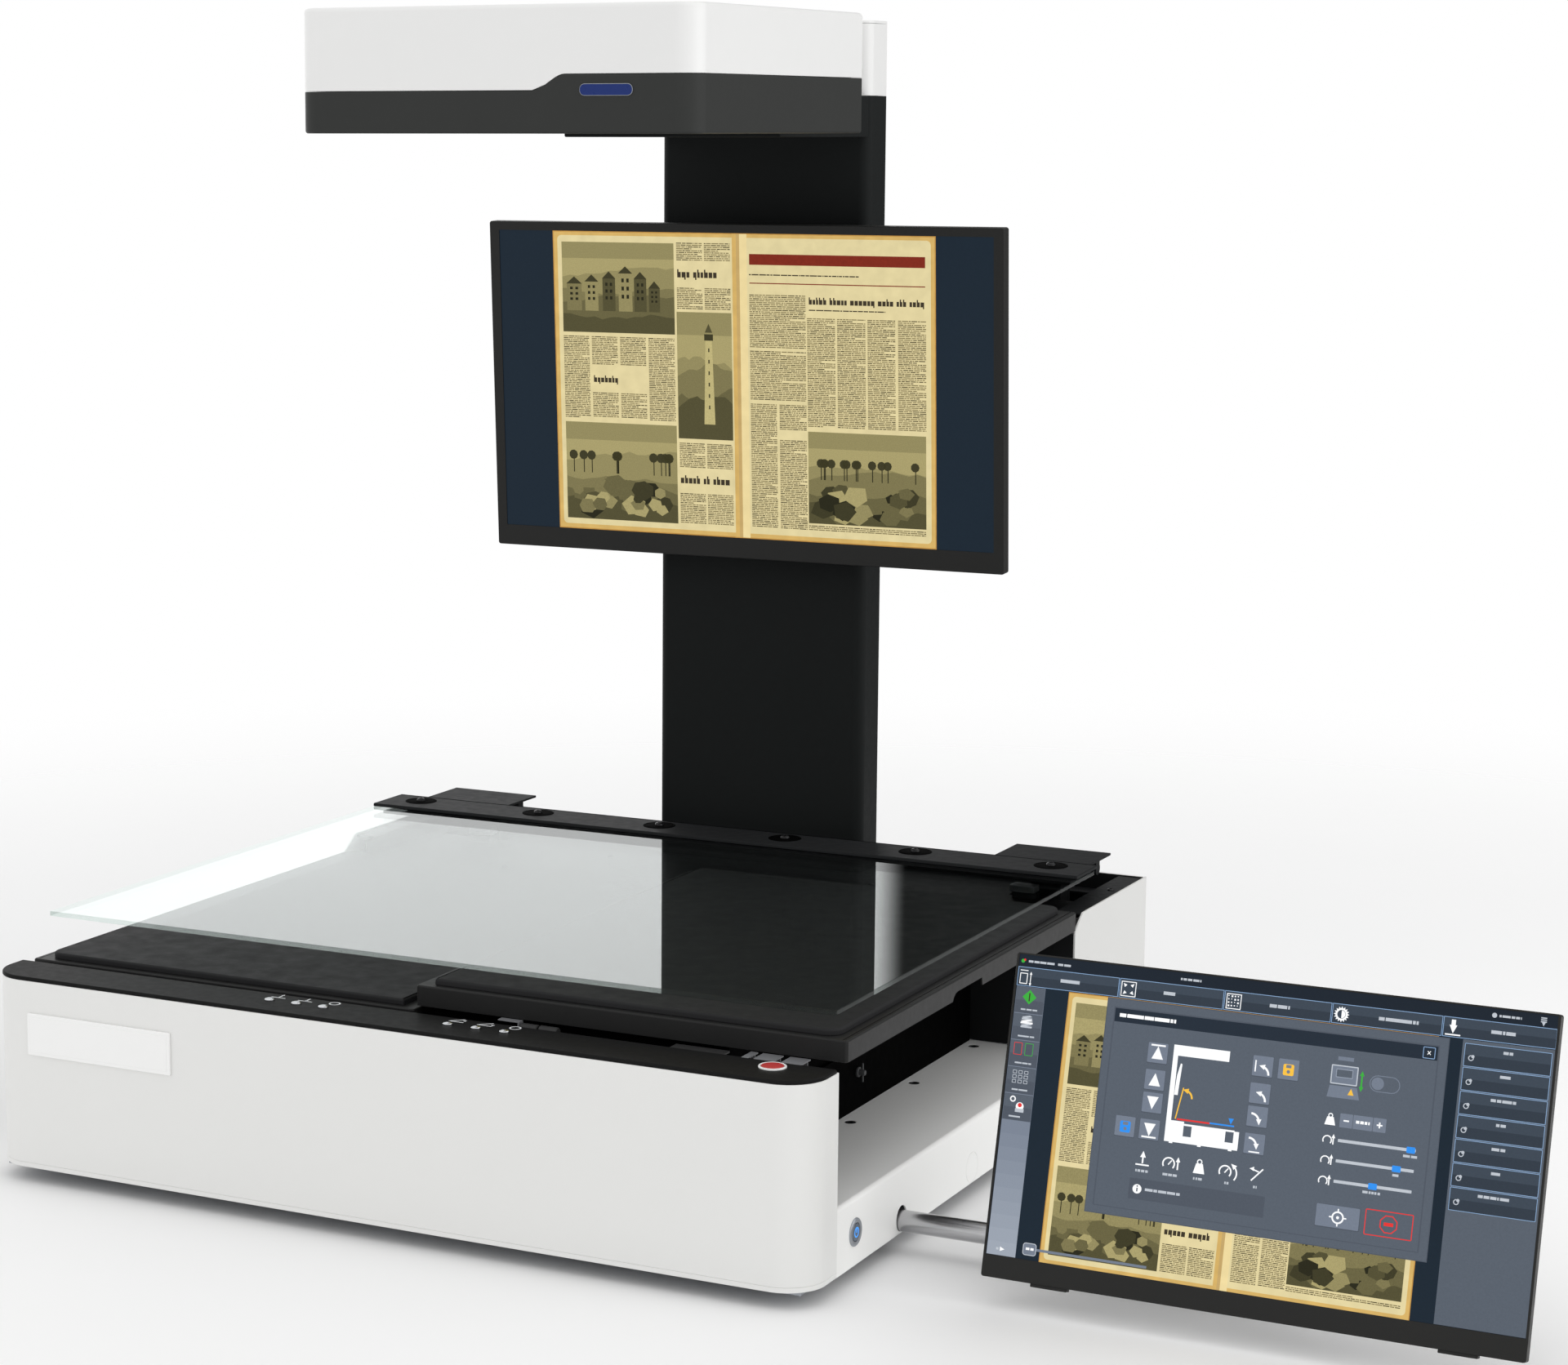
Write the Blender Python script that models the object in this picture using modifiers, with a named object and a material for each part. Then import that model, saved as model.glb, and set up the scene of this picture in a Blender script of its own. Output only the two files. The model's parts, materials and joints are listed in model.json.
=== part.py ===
"""Overhead book scanner with a pressing glass plate, two book trays, a preview monitor and a touchscreen.

Machine frame: X to the right, Y to the back, Z up, in metres. X = 0 is the middle of the base, Y = 0 its
front face and Z = 0 the surface that it stands on. Everything hangs on one empty, machine_frame, which
moves the model so that the world origin is the middle of the bounding box, at the bottom.
"""

import math

import bmesh
import bpy
from mathutils import Matrix, Vector

# ---------------------------------------------------------------- driving dimensions
BODY_WIDTH = 1.100
BODY_DEPTH = 1.105
FOOT_HEIGHT = 0.020
COVER_HEIGHT = 0.2345
COVER_CORNER = 0.048
COVER_WRAP = 0.078
SHEET = 0.002
GAP = 0.0003
FLOOR_PAN_THICKNESS = 0.004

LEDGE_HEIGHT = 0.079
LEDGE_INNER_X = 0.4085
LEDGE_ROUNDING = 0.008
CHASSIS_INNER_X = 0.4052
CHASSIS_HEIGHT = 0.155
BULKHEAD_Y = 0.0860
REAR_BAY_Y = 0.828
REAR_PANEL_HEIGHT = 0.2585
REAR_PANEL_CHAMFER = (0.029, 0.020)
CONTROL_PLATE_THICKNESS = 0.0045
CONTROL_PLATE_DEPTH = 0.0735

TRAY_INNER_X = 0.0015
TRAY_OUTER_X = 0.5515
TRAY_FRONT_Y = 0.097
TRAY_REAR_Y = 0.826
TRAY_FLANGE = 0.025
PAD_THICKNESS = 0.0078
PAD_INSET = 0.0165
PAD_INNER_INSET = 0.020
PAD_FRONT_INSET = 0.010
RIGHT_TRAY_TOP = 0.2655
LEFT_TRAY_TOP = 0.2355

GLASS_TOP = 0.2955
GLASS_THICKNESS = 0.006
GLASS_HALF_WIDTH = 0.533
GLASS_FRONT_Y = 0.1067
GLASS_REAR_Y = 0.945
BAR_FRONT_Y = 0.8795
BAR_REAR_Y = 0.9555
BAR_THICKNESS = 0.0045
BAR_HALF_WIDTH = 0.532
STRIP_HALF_WIDTH = 0.520
STRIP_Y = (0.8875, 0.9955)
STRIP_THICKNESS = 0.004
HINGE_X = (0.374, 0.508)
HINGE_AXIS_Y = 1.040
HINGE_AXIS_Z = 0.277
HINGE_PLATE_REAR_Y = 1.0775

COLUMN_HALF_WIDTH = 0.156
COLUMN_FRONT_Y = 1.042
COLUMN_REAR_Y = 1.1015
COLUMN_CORNER = 0.015
COLUMN_WALL = 0.003
COLUMN_TOP = 1.2993
HEAD_HALF_WIDTH = 0.268
HEAD_FRONT_Y = 0.283
HEAD_REAR_Y = 0.759
HEAD_CORNER = 0.030
HEAD_BOTTOM = 1.2497
HEAD_TOP = 1.3985
NECK_BOTTOM = 1.2446
NECK_HALF_WIDTH = 0.135
NECK_FILLET = 0.002
SPLIT_LOW = 1.2998
SPLIT_HIGH = 1.3187
SPLIT_WAVE_X = (0.0575, 0.1000)

MONITOR_WIDTH = 0.766
MONITOR_HEIGHT = 0.4566
MONITOR_CENTRE_Z = 0.902
MONITOR_AXIS_Y = 1.0085
MONITOR_FACE_OFFSET = 0.0355
MONITOR_TILT = math.radians(2.9)

ARM_Y = 0.2624
ARM_Z = 0.0145
ARM_RADIUS = 0.0125
ARM_POST_X = 0.9995
TOUCH_WIDTH = 0.5927
TOUCH_HEIGHT = 0.3565
TOUCH_AXIS = (0.2203, 0.1721)
TOUCH_FACE_OFFSET = 0.055
TOUCH_TILT = math.radians(-15.3)

SMALL_BUTTON_RADIUS = 0.0062
BUTTON_Y = 0.0418
BUTTON_PITCH = 0.0372
LEFT_BUTTONS_X = -0.1667
RIGHT_BUTTONS_X = 0.0760
STOP_BUTTON = (0.4833, 0.0488)
STOP_RADIUS = 0.0115
POWER_BUTTON = (0.1278, 0.0389)
POWER_RADIUS = 0.0105

# ---------------------------------------------------------------- derived levels, above the floor
BASE_Z = FOOT_HEIGHT
COVER_TOP = BASE_Z + COVER_HEIGHT
LEDGE_TOP = BASE_Z + LEDGE_HEIGHT
PLATE_TOP = COVER_TOP + GAP + CONTROL_PLATE_THICKNESS
HALF_WIDTH = BODY_WIDTH / 2
TOUCH_RIGHT = ARM_POST_X + TOUCH_WIDTH / 2
BOX_CENTRE = Vector(((TOUCH_RIGHT - TRAY_OUTER_X) / 2, BODY_DEPTH / 2, 0.0))

PARTS = "book_scanner"
CUTTERS = "cutters"
MATERIALS = {}


# ---------------------------------------------------------------- scene helpers
def clear_scene():
    for obj in list(bpy.data.objects):
        bpy.data.objects.remove(obj, do_unlink=True)
    for name in (PARTS, CUTTERS):
        collection = bpy.data.collections.new(name)
        bpy.context.scene.collection.children.link(collection)


def material(name, colour, roughness, metallic=0.0):
    if name not in MATERIALS:
        new = bpy.data.materials.new(name)
        new.use_nodes = True
        shader = new.node_tree.nodes["Principled BSDF"]
        shader.inputs["Base Color"].default_value = (*colour, 1.0)
        shader.inputs["Roughness"].default_value = roughness
        shader.inputs["Metallic"].default_value = metallic
        MATERIALS[name] = new
    return MATERIALS[name]


def white():
    return material("white_powder_coat", (0.80, 0.80, 0.79), 0.45)


def black():
    return material("black_powder_coat", (0.020, 0.020, 0.022), 0.5)


def graphite():
    return material("graphite_paint", (0.045, 0.045, 0.045), 0.42)


def steel():
    return material("bright_steel", (0.62, 0.62, 0.63), 0.28, 1.0)


def aluminium():
    return material("anodised_aluminium", (0.66, 0.67, 0.68), 0.4, 1.0)


def rubber():
    return material("rubber", (0.02, 0.02, 0.02), 0.8)


def mat_pad():
    return material("tray_mat", (0.03, 0.03, 0.032), 0.6)


def plastic():
    return material("dark_plastic", (0.025, 0.025, 0.025), 0.5)


def clear_glass():
    return material("clear_glass", (0.9, 0.93, 0.92), 0.03)


def add_object(name, mesh, location, finish, collection=PARTS):
    obj = bpy.data.objects.new(name, mesh)
    obj.location = location
    bpy.data.collections[collection].objects.link(obj)
    if finish:
        mesh.materials.append(finish)
    return obj


def box_mesh(name, size):
    mesh = bpy.data.meshes.new(name)
    bm = bmesh.new()
    bmesh.ops.create_cube(bm, size=1.0, matrix=Matrix.Diagonal((*size, 1.0)))
    bm.to_mesh(mesh)
    bm.free()
    return mesh


def box(name, low, high, finish=None, collection=PARTS):
    """A box between two opposite corners, with its origin at its middle."""
    corners = [sorted(pair) for pair in zip(low, high)]
    low, high = (Vector(side) for side in zip(*corners))
    return add_object(name, box_mesh(name, high - low), (low + high) / 2, finish, collection)


def cylinder(name, centre, radius, length, axis, finish=None, collection=PARTS, top=None, sides=32):
    """A cylinder or a cone about the axis X, Y or Z, centred on a point."""
    turn = {"X": Matrix.Rotation(math.pi / 2, 4, "Y"), "Y": Matrix.Rotation(-math.pi / 2, 4, "X"),
            "Z": Matrix.Identity(4)}[axis]
    mesh = bpy.data.meshes.new(name)
    bm = bmesh.new()
    bmesh.ops.create_cone(bm, cap_ends=True, segments=sides, radius1=radius,
                          radius2=radius if top is None else top, depth=length, matrix=turn)
    bm.to_mesh(mesh)
    bm.free()
    mesh.shade_smooth()
    mesh.set_sharp_from_angle(angle=math.radians(35))
    return add_object(name, mesh, Vector(centre), finish, collection)


def arc(centre, radius, start, end, steps=6):
    """Points of a round corner, angles in degrees."""
    turns = [math.radians(start + (end - start) * i / steps) for i in range(steps + 1)]
    return [(centre[0] + radius * math.cos(a), centre[1] + radius * math.sin(a)) for a in turns]


def rounded_rectangle(low, high, radius, corners=(True, True, True, True), steps=6):
    """Outline from the lower left corner, anticlockwise; corners says which of the four are round."""
    (x0, y0), (x1, y1) = low, high
    spots = [((x0, y0), (x0 + radius, y0 + radius), 180), ((x1, y0), (x1 - radius, y0 + radius), 270),
             ((x1, y1), (x1 - radius, y1 - radius), 0), ((x0, y1), (x0 + radius, y1 - radius), 90)]
    points = []
    for is_round, (corner, centre, start) in zip(corners, spots):
        points += arc(centre, radius, start, start + 90, steps) if is_round else [corner]
    return points


def prism(name, outline, low, high, plane="XY", finish=None, collection=PARTS):
    """A flat outline made solid between two levels. plane names the outline's two axes."""
    curve = bpy.data.curves.new(name, "CURVE")
    curve.dimensions = "2D"
    curve.fill_mode = "BOTH"
    curve.extrude = (high - low) / 2
    spline = curve.splines.new("POLY")
    spline.points.add(len(outline) - 1)
    for point, (u, v) in zip(spline.points, outline):
        point.co = (u, v, 0.0, 1.0)
    spline.use_cyclic_u = True
    guide = bpy.data.objects.new(name + "_outline", curve)
    bpy.data.collections[CUTTERS].objects.link(guide)
    mesh = bpy.data.meshes.new_from_object(guide.evaluated_get(bpy.context.evaluated_depsgraph_get()))
    bpy.data.objects.remove(guide)
    middle = (low + high) / 2
    axes = {"XY": Matrix(((1, 0, 0, 0), (0, 1, 0, 0), (0, 0, 1, middle), (0, 0, 0, 1))),
            "XZ": Matrix(((1, 0, 0, 0), (0, 0, 1, middle), (0, 1, 0, 0), (0, 0, 0, 1))),
            "YZ": Matrix(((0, 0, 1, middle), (1, 0, 0, 0), (0, 1, 0, 0), (0, 0, 0, 1)))}[plane]
    bm = bmesh.new()
    bm.from_mesh(mesh)
    bmesh.ops.remove_doubles(bm, verts=bm.verts, dist=0.00001)
    bmesh.ops.transform(bm, matrix=axes, verts=bm.verts)
    bmesh.ops.recalc_face_normals(bm, faces=bm.faces)
    bm.to_mesh(mesh)
    bm.free()
    mesh.name = name
    mesh.materials.clear()
    return add_object(name, mesh, (0, 0, 0), finish, collection)


def bent_sheet(name, path, low, high, plane, thickness, finish):
    """A folded sheet: an open path drawn out between two levels and thickened inwards."""
    mesh = bpy.data.meshes.new(name)
    bm = bmesh.new()
    place = {"XY": lambda u, v: (u, v, low), "XZ": lambda u, v: (u, low, v)}[plane]
    step = {"XY": (0, 0, high - low), "XZ": (0, high - low, 0)}[plane]
    row = [bm.verts.new(place(u, v)) for u, v in path]
    edges = [bm.edges.new(pair) for pair in zip(row, row[1:])]
    drawn = bmesh.ops.extrude_edge_only(bm, edges=edges)["geom"]
    bmesh.ops.translate(bm, vec=step, verts=[g for g in drawn if isinstance(g, bmesh.types.BMVert)])
    bm.to_mesh(mesh)
    bm.free()
    obj = add_object(name, mesh, (0, 0, 0), finish)
    wall = obj.modifiers.new("wall", "SOLIDIFY")
    wall.thickness = abs(thickness)
    wall.offset = -1.0 if thickness > 0 else 1.0
    wall.use_even_offset = True
    return obj


def use_tool(obj, tool, operation):
    change = obj.modifiers.new(tool.name, "BOOLEAN")
    change.operation = operation
    change.solver = "EXACT"
    change.object = tool
    tool.hide_render = True
    tool.display_type = "WIRE"
    for collection in tool.users_collection:
        collection.objects.unlink(tool)
    bpy.data.collections[CUTTERS].objects.link(tool)
    tool.parent = obj.parent


def cut(obj, *tools):
    for tool in tools:
        use_tool(obj, tool, "DIFFERENCE")
    return obj


def join(obj, *tools):
    for tool in tools:
        use_tool(obj, tool, "UNION")
    return obj


def empty(name, location, parent, turn_x=0.0):
    obj = bpy.data.objects.new(name, None)
    bpy.data.collections[PARTS].objects.link(obj)
    obj.parent = parent
    obj.location = location
    obj.rotation_euler.x = turn_x
    return obj


def tools_of(obj):
    return [m.object for m in obj.modifiers if m.type == "BOOLEAN"]


def hang(objects, parent, pivot=None):
    """Parent pieces, and the tools that shape them, to an empty. With a pivot, their places are given in
    the machine frame and become relative to it; without one they are already in the empty's own frame."""
    for obj in objects:
        for piece in [obj] + tools_of(obj):
            piece.parent = parent
            if pivot is not None:
                piece.location = piece.location - Vector(pivot)


# ---------------------------------------------------------------- base
def floor_and_feet():
    pan_low = BASE_Z - FLOOR_PAN_THICKNESS - GAP
    pieces = [box("floor_pan", (-0.535, 0.015, pan_low), (0.535, 1.090, BASE_Z - GAP), steel())]
    height = pan_low - GAP
    for side, x in (("left", -0.46), ("right", 0.46)):
        for end, y in (("front", 0.10), ("rear", 1.00)):
            pieces.append(cylinder(f"foot_{end}_{side}", (x, y, height / 2), 0.026, height, "Z",
                                   rubber(), top=0.022, sides=24))
    return pieces


def front_cover():
    left = arc((COVER_CORNER - HALF_WIDTH, COVER_CORNER), COVER_CORNER, 180, 270, 8)
    right = arc((HALF_WIDTH - COVER_CORNER, COVER_CORNER), COVER_CORNER, 270, 360, 8)
    path = [(-HALF_WIDTH, COVER_WRAP)] + left + right + [(HALF_WIDTH, COVER_WRAP)]
    return [bent_sheet("front_cover", path, BASE_Z, COVER_TOP, "XY", -SHEET, white())]


def small_button_places():
    starts = (LEFT_BUTTONS_X, RIGHT_BUTTONS_X)
    return [(start + i * BUTTON_PITCH, BUTTON_Y) for start in starts for i in range(3)]


def control_plate():
    outline = rounded_rectangle((-HALF_WIDTH, 0.0), (HALF_WIDTH, CONTROL_PLATE_DEPTH), COVER_CORNER,
                                (True, True, False, False), 8)
    plate = prism("control_plate", outline, COVER_TOP + GAP, PLATE_TOP, "XY", black())
    for i, (x, y) in enumerate(small_button_places()):
        cut(plate, cylinder(f"small_hole_{i}", (x, y, COVER_TOP), SMALL_BUTTON_RADIUS + GAP, 0.03, "Z",
                            sides=24))
    cut(plate, cylinder("stop_hole", (*STOP_BUTTON, COVER_TOP), STOP_RADIUS + GAP, 0.03, "Z"))
    return [plate]


def side_housings():
    pieces = []
    for side, sign in (("left", -1), ("right", 1)):
        corner = arc((HALF_WIDTH - LEDGE_ROUNDING, LEDGE_TOP - LEDGE_ROUNDING), LEDGE_ROUNDING, 90, 0, 4)
        path = [(LEDGE_INNER_X, LEDGE_TOP)] + corner + [(HALF_WIDTH, BASE_Z)]
        path = [(sign * x, z) for x, z in path]
        shell = bent_sheet(f"{side}_side_housing", path, COVER_WRAP + GAP, REAR_BAY_Y - GAP, "XZ",
                           -sign * SHEET, white())
        wall = box(f"{side}_chassis_wall", (sign * CHASSIS_INNER_X, COVER_WRAP + GAP, BASE_Z),
                   (sign * (LEDGE_INNER_X - GAP), REAR_BAY_Y - GAP, BASE_Z + CHASSIS_HEIGHT), black())
        pieces += [shell, wall]
    pieces.append(box("front_bulkhead", (GAP - CHASSIS_INNER_X, BULKHEAD_Y, BASE_Z),
                      (CHASSIS_INNER_X - GAP, BULKHEAD_Y + 0.003, BASE_Z + CHASSIS_HEIGHT), black()))
    right = pieces[2]
    cut(right, cylinder("arm_bore", (HALF_WIDTH, ARM_Y, BASE_Z + 0.0170), 0.0153, 0.03, "X"),
        cylinder("power_bore", (HALF_WIDTH, POWER_BUTTON[0], BASE_Z + POWER_BUTTON[1]),
                 POWER_RADIUS + GAP, 0.03, "X"))
    return pieces


def rear_panels():
    dy, dz = REAR_PANEL_CHAMFER
    top = BASE_Z + REAR_PANEL_HEIGHT
    outline = [(REAR_BAY_Y, BASE_Z), (BODY_DEPTH, BASE_Z), (BODY_DEPTH, top), (REAR_BAY_Y + dy, top),
               (REAR_BAY_Y, top - dz)]
    inner = HALF_WIDTH - 0.003
    return [prism("right_rear_panel", outline, inner, HALF_WIDTH, "YZ", white()),
            prism("left_rear_panel", outline, -HALF_WIDTH, -inner, "YZ", white())]


REAR_INSIDE_X = HALF_WIDTH - 0.0033
DECK_STRIP_TOP = BASE_Z + 0.2565
DECK_FLOOR_TOP = BASE_Z + 0.236
DECK_THICKNESS = 0.003
LIFT_SLOT_X = (0.389, 0.493)
LIFT_SLOT_Y = (1.010, 1.072)


def rear_deck():
    """A folded deck: a low floor between two side strips, and a flange down its front."""
    front, back, t = REAR_BAY_Y + GAP, 1.1010, DECK_THICKNESS
    deck = box("rear_deck", (-0.515, front, DECK_FLOOR_TOP - t), (0.515, back, DECK_FLOOR_TOP), black())
    for sign in (-1, 1):
        join(deck, box(f"deck_step_{sign}", (sign * 0.512, front, DECK_FLOOR_TOP - t),
                       (sign * 0.515, back, DECK_STRIP_TOP)))
        join(deck, box(f"deck_strip_{sign}", (sign * 0.512, REAR_BAY_Y + 0.0303, DECK_STRIP_TOP - t),
                       (sign * REAR_INSIDE_X, back, DECK_STRIP_TOP)))
    join(deck, box("deck_flange", (-REAR_INSIDE_X, front, LEDGE_TOP + 0.0005),
                   (REAR_INSIDE_X, front + t, DECK_FLOOR_TOP - t / 2)))
    cut(deck, box("column_notch", (-COLUMN_HALF_WIDTH - 0.0005, COLUMN_FRONT_Y - 0.0005, 0.2),
                  (COLUMN_HALF_WIDTH + 0.0005, 1.2, 0.3)))
    for sign in (-1, 1):
        cut(deck, box(f"lift_slot_{sign}", (sign * LIFT_SLOT_X[0], LIFT_SLOT_Y[0], 0.2),
                      (sign * LIFT_SLOT_X[1], LIFT_SLOT_Y[1], 0.27)))
    return [deck]


INLET_X = -0.40
INLET_Z = 0.085


def rear_cover_and_inlet():
    cover = box("rear_cover", (-REAR_INSIDE_X, 1.1020, BASE_Z), (REAR_INSIDE_X, BODY_DEPTH,
                BASE_Z + REAR_PANEL_HEIGHT), white())
    cut(cover, box("inlet_hole", (INLET_X - 0.0243, 1.09, INLET_Z - 0.0143),
                   (INLET_X + 0.0243, 1.12, INLET_Z + 0.0143)))
    inlet = box("power_inlet", (INLET_X - 0.024, 1.062, INLET_Z - 0.014),
                (INLET_X + 0.024, 1.1045, INLET_Z + 0.014), plastic())
    socket = rounded_rectangle((INLET_X - 0.013, INLET_Z - 0.0095), (INLET_X + 0.013, INLET_Z + 0.0095),
                               0.004, steps=3)
    cut(inlet, prism("inlet_socket", socket, 1.082, 1.12, "XZ"))
    return [cover, inlet]


# ---------------------------------------------------------------- column and head
def column_outline(inset):
    """The column's footprint: round front corners, square rear ones."""
    return rounded_rectangle((inset - COLUMN_HALF_WIDTH, COLUMN_FRONT_Y + inset),
                             (COLUMN_HALF_WIDTH - inset, COLUMN_REAR_Y - inset), COLUMN_CORNER - inset,
                             (True, True, False, False), 4)


def column():
    shell = prism("column_shell", column_outline(0.0), BASE_Z, BASE_Z + COLUMN_TOP - GAP, "XY", black())
    return [cut(shell, prism("column_hollow", column_outline(COLUMN_WALL), -0.1, 1.6, "XY"))]


def neck_outline(inset):
    """The white cap over the column and the narrower bridge from it to the head."""
    half, front = NECK_HALF_WIDTH - inset, HEAD_REAR_Y + GAP + inset
    rear = COLUMN_FRONT_Y - NECK_FILLET + inset
    cap = column_outline(inset)
    left_corner = (len(cap) - 2) // 2
    return ([(-half, front), (half, front), (half, rear)] + cap[left_corner:] + cap[:left_corner]
            + [(-half, rear)])


def neck():
    low, top, wall = BASE_Z + COLUMN_TOP, BASE_Z + HEAD_TOP, COLUMN_WALL
    cover = prism("neck_cover", neck_outline(0.0), low, top, "XY", white())
    cut(cover, prism("neck_hollow", neck_outline(wall), low - 0.05, top - wall, "XY"))
    beam_front = HEAD_REAR_Y + GAP
    beam = box("neck_beam", (-COLUMN_HALF_WIDTH, beam_front, BASE_Z + NECK_BOTTOM),
               (COLUMN_HALF_WIDTH, COLUMN_FRONT_Y - GAP, low - GAP), black())
    cut(beam, box("beam_hollow", (-COLUMN_HALF_WIDTH + wall, beam_front - wall, BASE_Z + NECK_BOTTOM + wall),
                  (COLUMN_HALF_WIDTH - wall, COLUMN_FRONT_Y + wall, low - GAP - wall)))
    return [cover, beam]


def split_line(offset):
    """The seam between the head's two shells: low on the left, an S-shaped rise, high on the right."""
    x0, x1 = SPLIT_WAVE_X
    rise = SPLIT_HIGH - SPLIT_LOW
    steps = 8
    wave = []
    for i in range(steps + 1):
        share = i / steps
        wave.append((x0 + (x1 - x0) * share,
                     BASE_Z + SPLIT_LOW + rise * (3 - 2 * share) * share ** 2 + offset))
    return [(-0.4, BASE_Z + SPLIT_LOW + offset)] + wave + [(0.4, BASE_Z + SPLIT_HIGH + offset)]


LENS_Y = 0.520
LENS_RADIUS = 0.030
LAMP_X = 0.205
LAMP_SIZE = (0.030, 0.340)


def head():
    wall = 0.003
    low, top = BASE_Z + HEAD_BOTTOM, BASE_Z + HEAD_TOP
    corners = (True, True, False, False)

    def footprint(inset):
        return rounded_rectangle((-HEAD_HALF_WIDTH + inset, HEAD_FRONT_Y + inset),
                                 (HEAD_HALF_WIDTH - inset, HEAD_REAR_Y - inset), HEAD_CORNER - inset,
                                 corners, 6)

    upper = prism("head_upper_cover", footprint(0), low, top, "XY", white())
    below = split_line(0.0) + [(0.4, 1.0), (-0.4, 1.0)]
    cut(upper, prism("below_seam", below, 0.1, 0.9, "XZ"),
        prism("upper_hollow", footprint(wall), low - 0.1, top - wall, "XY"))
    lower = prism("head_lower_housing", footprint(0), low, top, "XY", graphite())
    above = split_line(-GAP) + [(0.4, 1.6), (-0.4, 1.6)]
    cut(lower, prism("above_seam", above, 0.1, 0.9, "XZ"),
        prism("lower_hollow", footprint(wall), low + wall, top + 0.1, "XY"),
        cylinder("lens_hole", (0, LENS_Y, low), LENS_RADIUS + GAP, 0.02, "Z"))
    for sign in (-1, 1):
        cut(lower, box(f"lamp_hole_{sign}", (sign * LAMP_X - LAMP_SIZE[0] / 2 - GAP,
                                             LENS_Y - LAMP_SIZE[1] / 2 - GAP, low - 0.01),
                       (sign * LAMP_X + LAMP_SIZE[0] / 2 + GAP, LENS_Y + LAMP_SIZE[1] / 2 + GAP,
                        low + 0.01)))
    lens = cylinder("camera_lens", (0, LENS_Y, low + 0.0315), LENS_RADIUS, 0.062, "Z", plastic(), sides=32)
    cut(lens, cylinder("lens_recess", (0, LENS_Y, low), 0.022, 0.016, "Z"))
    lamps = [box(f"{side}_lamp", (sign * LAMP_X - LAMP_SIZE[0] / 2, LENS_Y - LAMP_SIZE[1] / 2, low + 0.0005),
                 (sign * LAMP_X + LAMP_SIZE[0] / 2, LENS_Y + LAMP_SIZE[1] / 2, low + 0.0125), plastic())
             for side, sign in (("left", -1), ("right", 1))]
    return [upper, lower, lens] + lamps


# ---------------------------------------------------------------- preview monitor
def preview_monitor(frame):
    pivot = (0.0, MONITOR_AXIS_Y, BASE_Z + MONITOR_CENTRE_Z)
    z = pivot[2]
    bracket = box("monitor_bracket", (-0.060, COLUMN_FRONT_Y - 0.0063, z - 0.060),
                  (0.060, COLUMN_FRONT_Y - GAP, z + 0.060), black())
    for sign in (-1, 1):
        join(bracket, cylinder(f"bracket_eye_{sign}", (sign * 0.042, MONITOR_AXIS_Y, z), 0.0085, 0.012, "X",
                               sides=24),
             box(f"bracket_ear_{sign}", (sign * 0.036, MONITOR_AXIS_Y, z - 0.0080),
                 (sign * 0.048, COLUMN_FRONT_Y - 0.004, z + 0.0080)))
    hang([bracket], frame)

    tilt = empty("monitor_tilt_axis", pivot, frame, MONITOR_TILT)
    face = -MONITOR_FACE_OFFSET
    plate = box("monitor_tilt_plate", (-0.060, -0.0125, -0.055), (0.060, -0.0095, 0.055), steel())
    join(plate, cylinder("tilt_barrel", (0, 0, 0), 0.0085, 0.066, "X", sides=24),
         box("barrel_web", (-0.033, -0.0110, -0.007), (0.033, 0.0, 0.007)))
    rim = 0.0175
    housing = box("monitor_housing", (-MONITOR_WIDTH / 2, face + 0.0005, -MONITOR_HEIGHT / 2),
                  (MONITOR_WIDTH / 2, face + rim, MONITOR_HEIGHT / 2), plastic())
    join(housing, box("monitor_bulge", (-0.27, face + 0.010, -0.150), (0.27, -0.0128, 0.150)))
    cut(housing, box("panel_recess", (-MONITOR_WIDTH / 2 + 0.0045, face - 0.01, -MONITOR_HEIGHT / 2 + 0.0045),
                     (MONITOR_WIDTH / 2 - 0.0045, face + 0.0045, MONITOR_HEIGHT / 2 - 0.0045)))
    panel = box("monitor_panel", (-MONITOR_WIDTH / 2 + 0.0048, face, -MONITOR_HEIGHT / 2 + 0.0048),
                (MONITOR_WIDTH / 2 - 0.0048, face + 0.0042, MONITOR_HEIGHT / 2 - 0.0048), plastic())
    hang([plate, housing, panel], tilt)


# ---------------------------------------------------------------- touchscreen on its arm
POST_TOP = 0.140
BEND_RADIUS = 0.045


def arm_tube():
    """A tube that runs out of the right side and turns up into a post."""
    z = BASE_Z + ARM_Z
    bend = arc((ARM_POST_X - BEND_RADIUS, z + BEND_RADIUS), BEND_RADIUS, 270, 360, 8)
    path = [(0.415, z)] + bend + [(ARM_POST_X, BASE_Z + POST_TOP)]
    curve = bpy.data.curves.new("arm_tube", "CURVE")
    curve.dimensions = "3D"
    curve.bevel_depth = ARM_RADIUS
    curve.bevel_resolution = 4
    curve.use_fill_caps = True
    spline = curve.splines.new("POLY")
    spline.points.add(len(path) - 1)
    for point, (x, height) in zip(spline.points, path):
        point.co = (x, ARM_Y, height, 1.0)
    tube = bpy.data.objects.new("arm_tube", curve)
    bpy.data.collections[PARTS].objects.link(tube)
    curve.materials.append(steel())
    return tube


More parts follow.
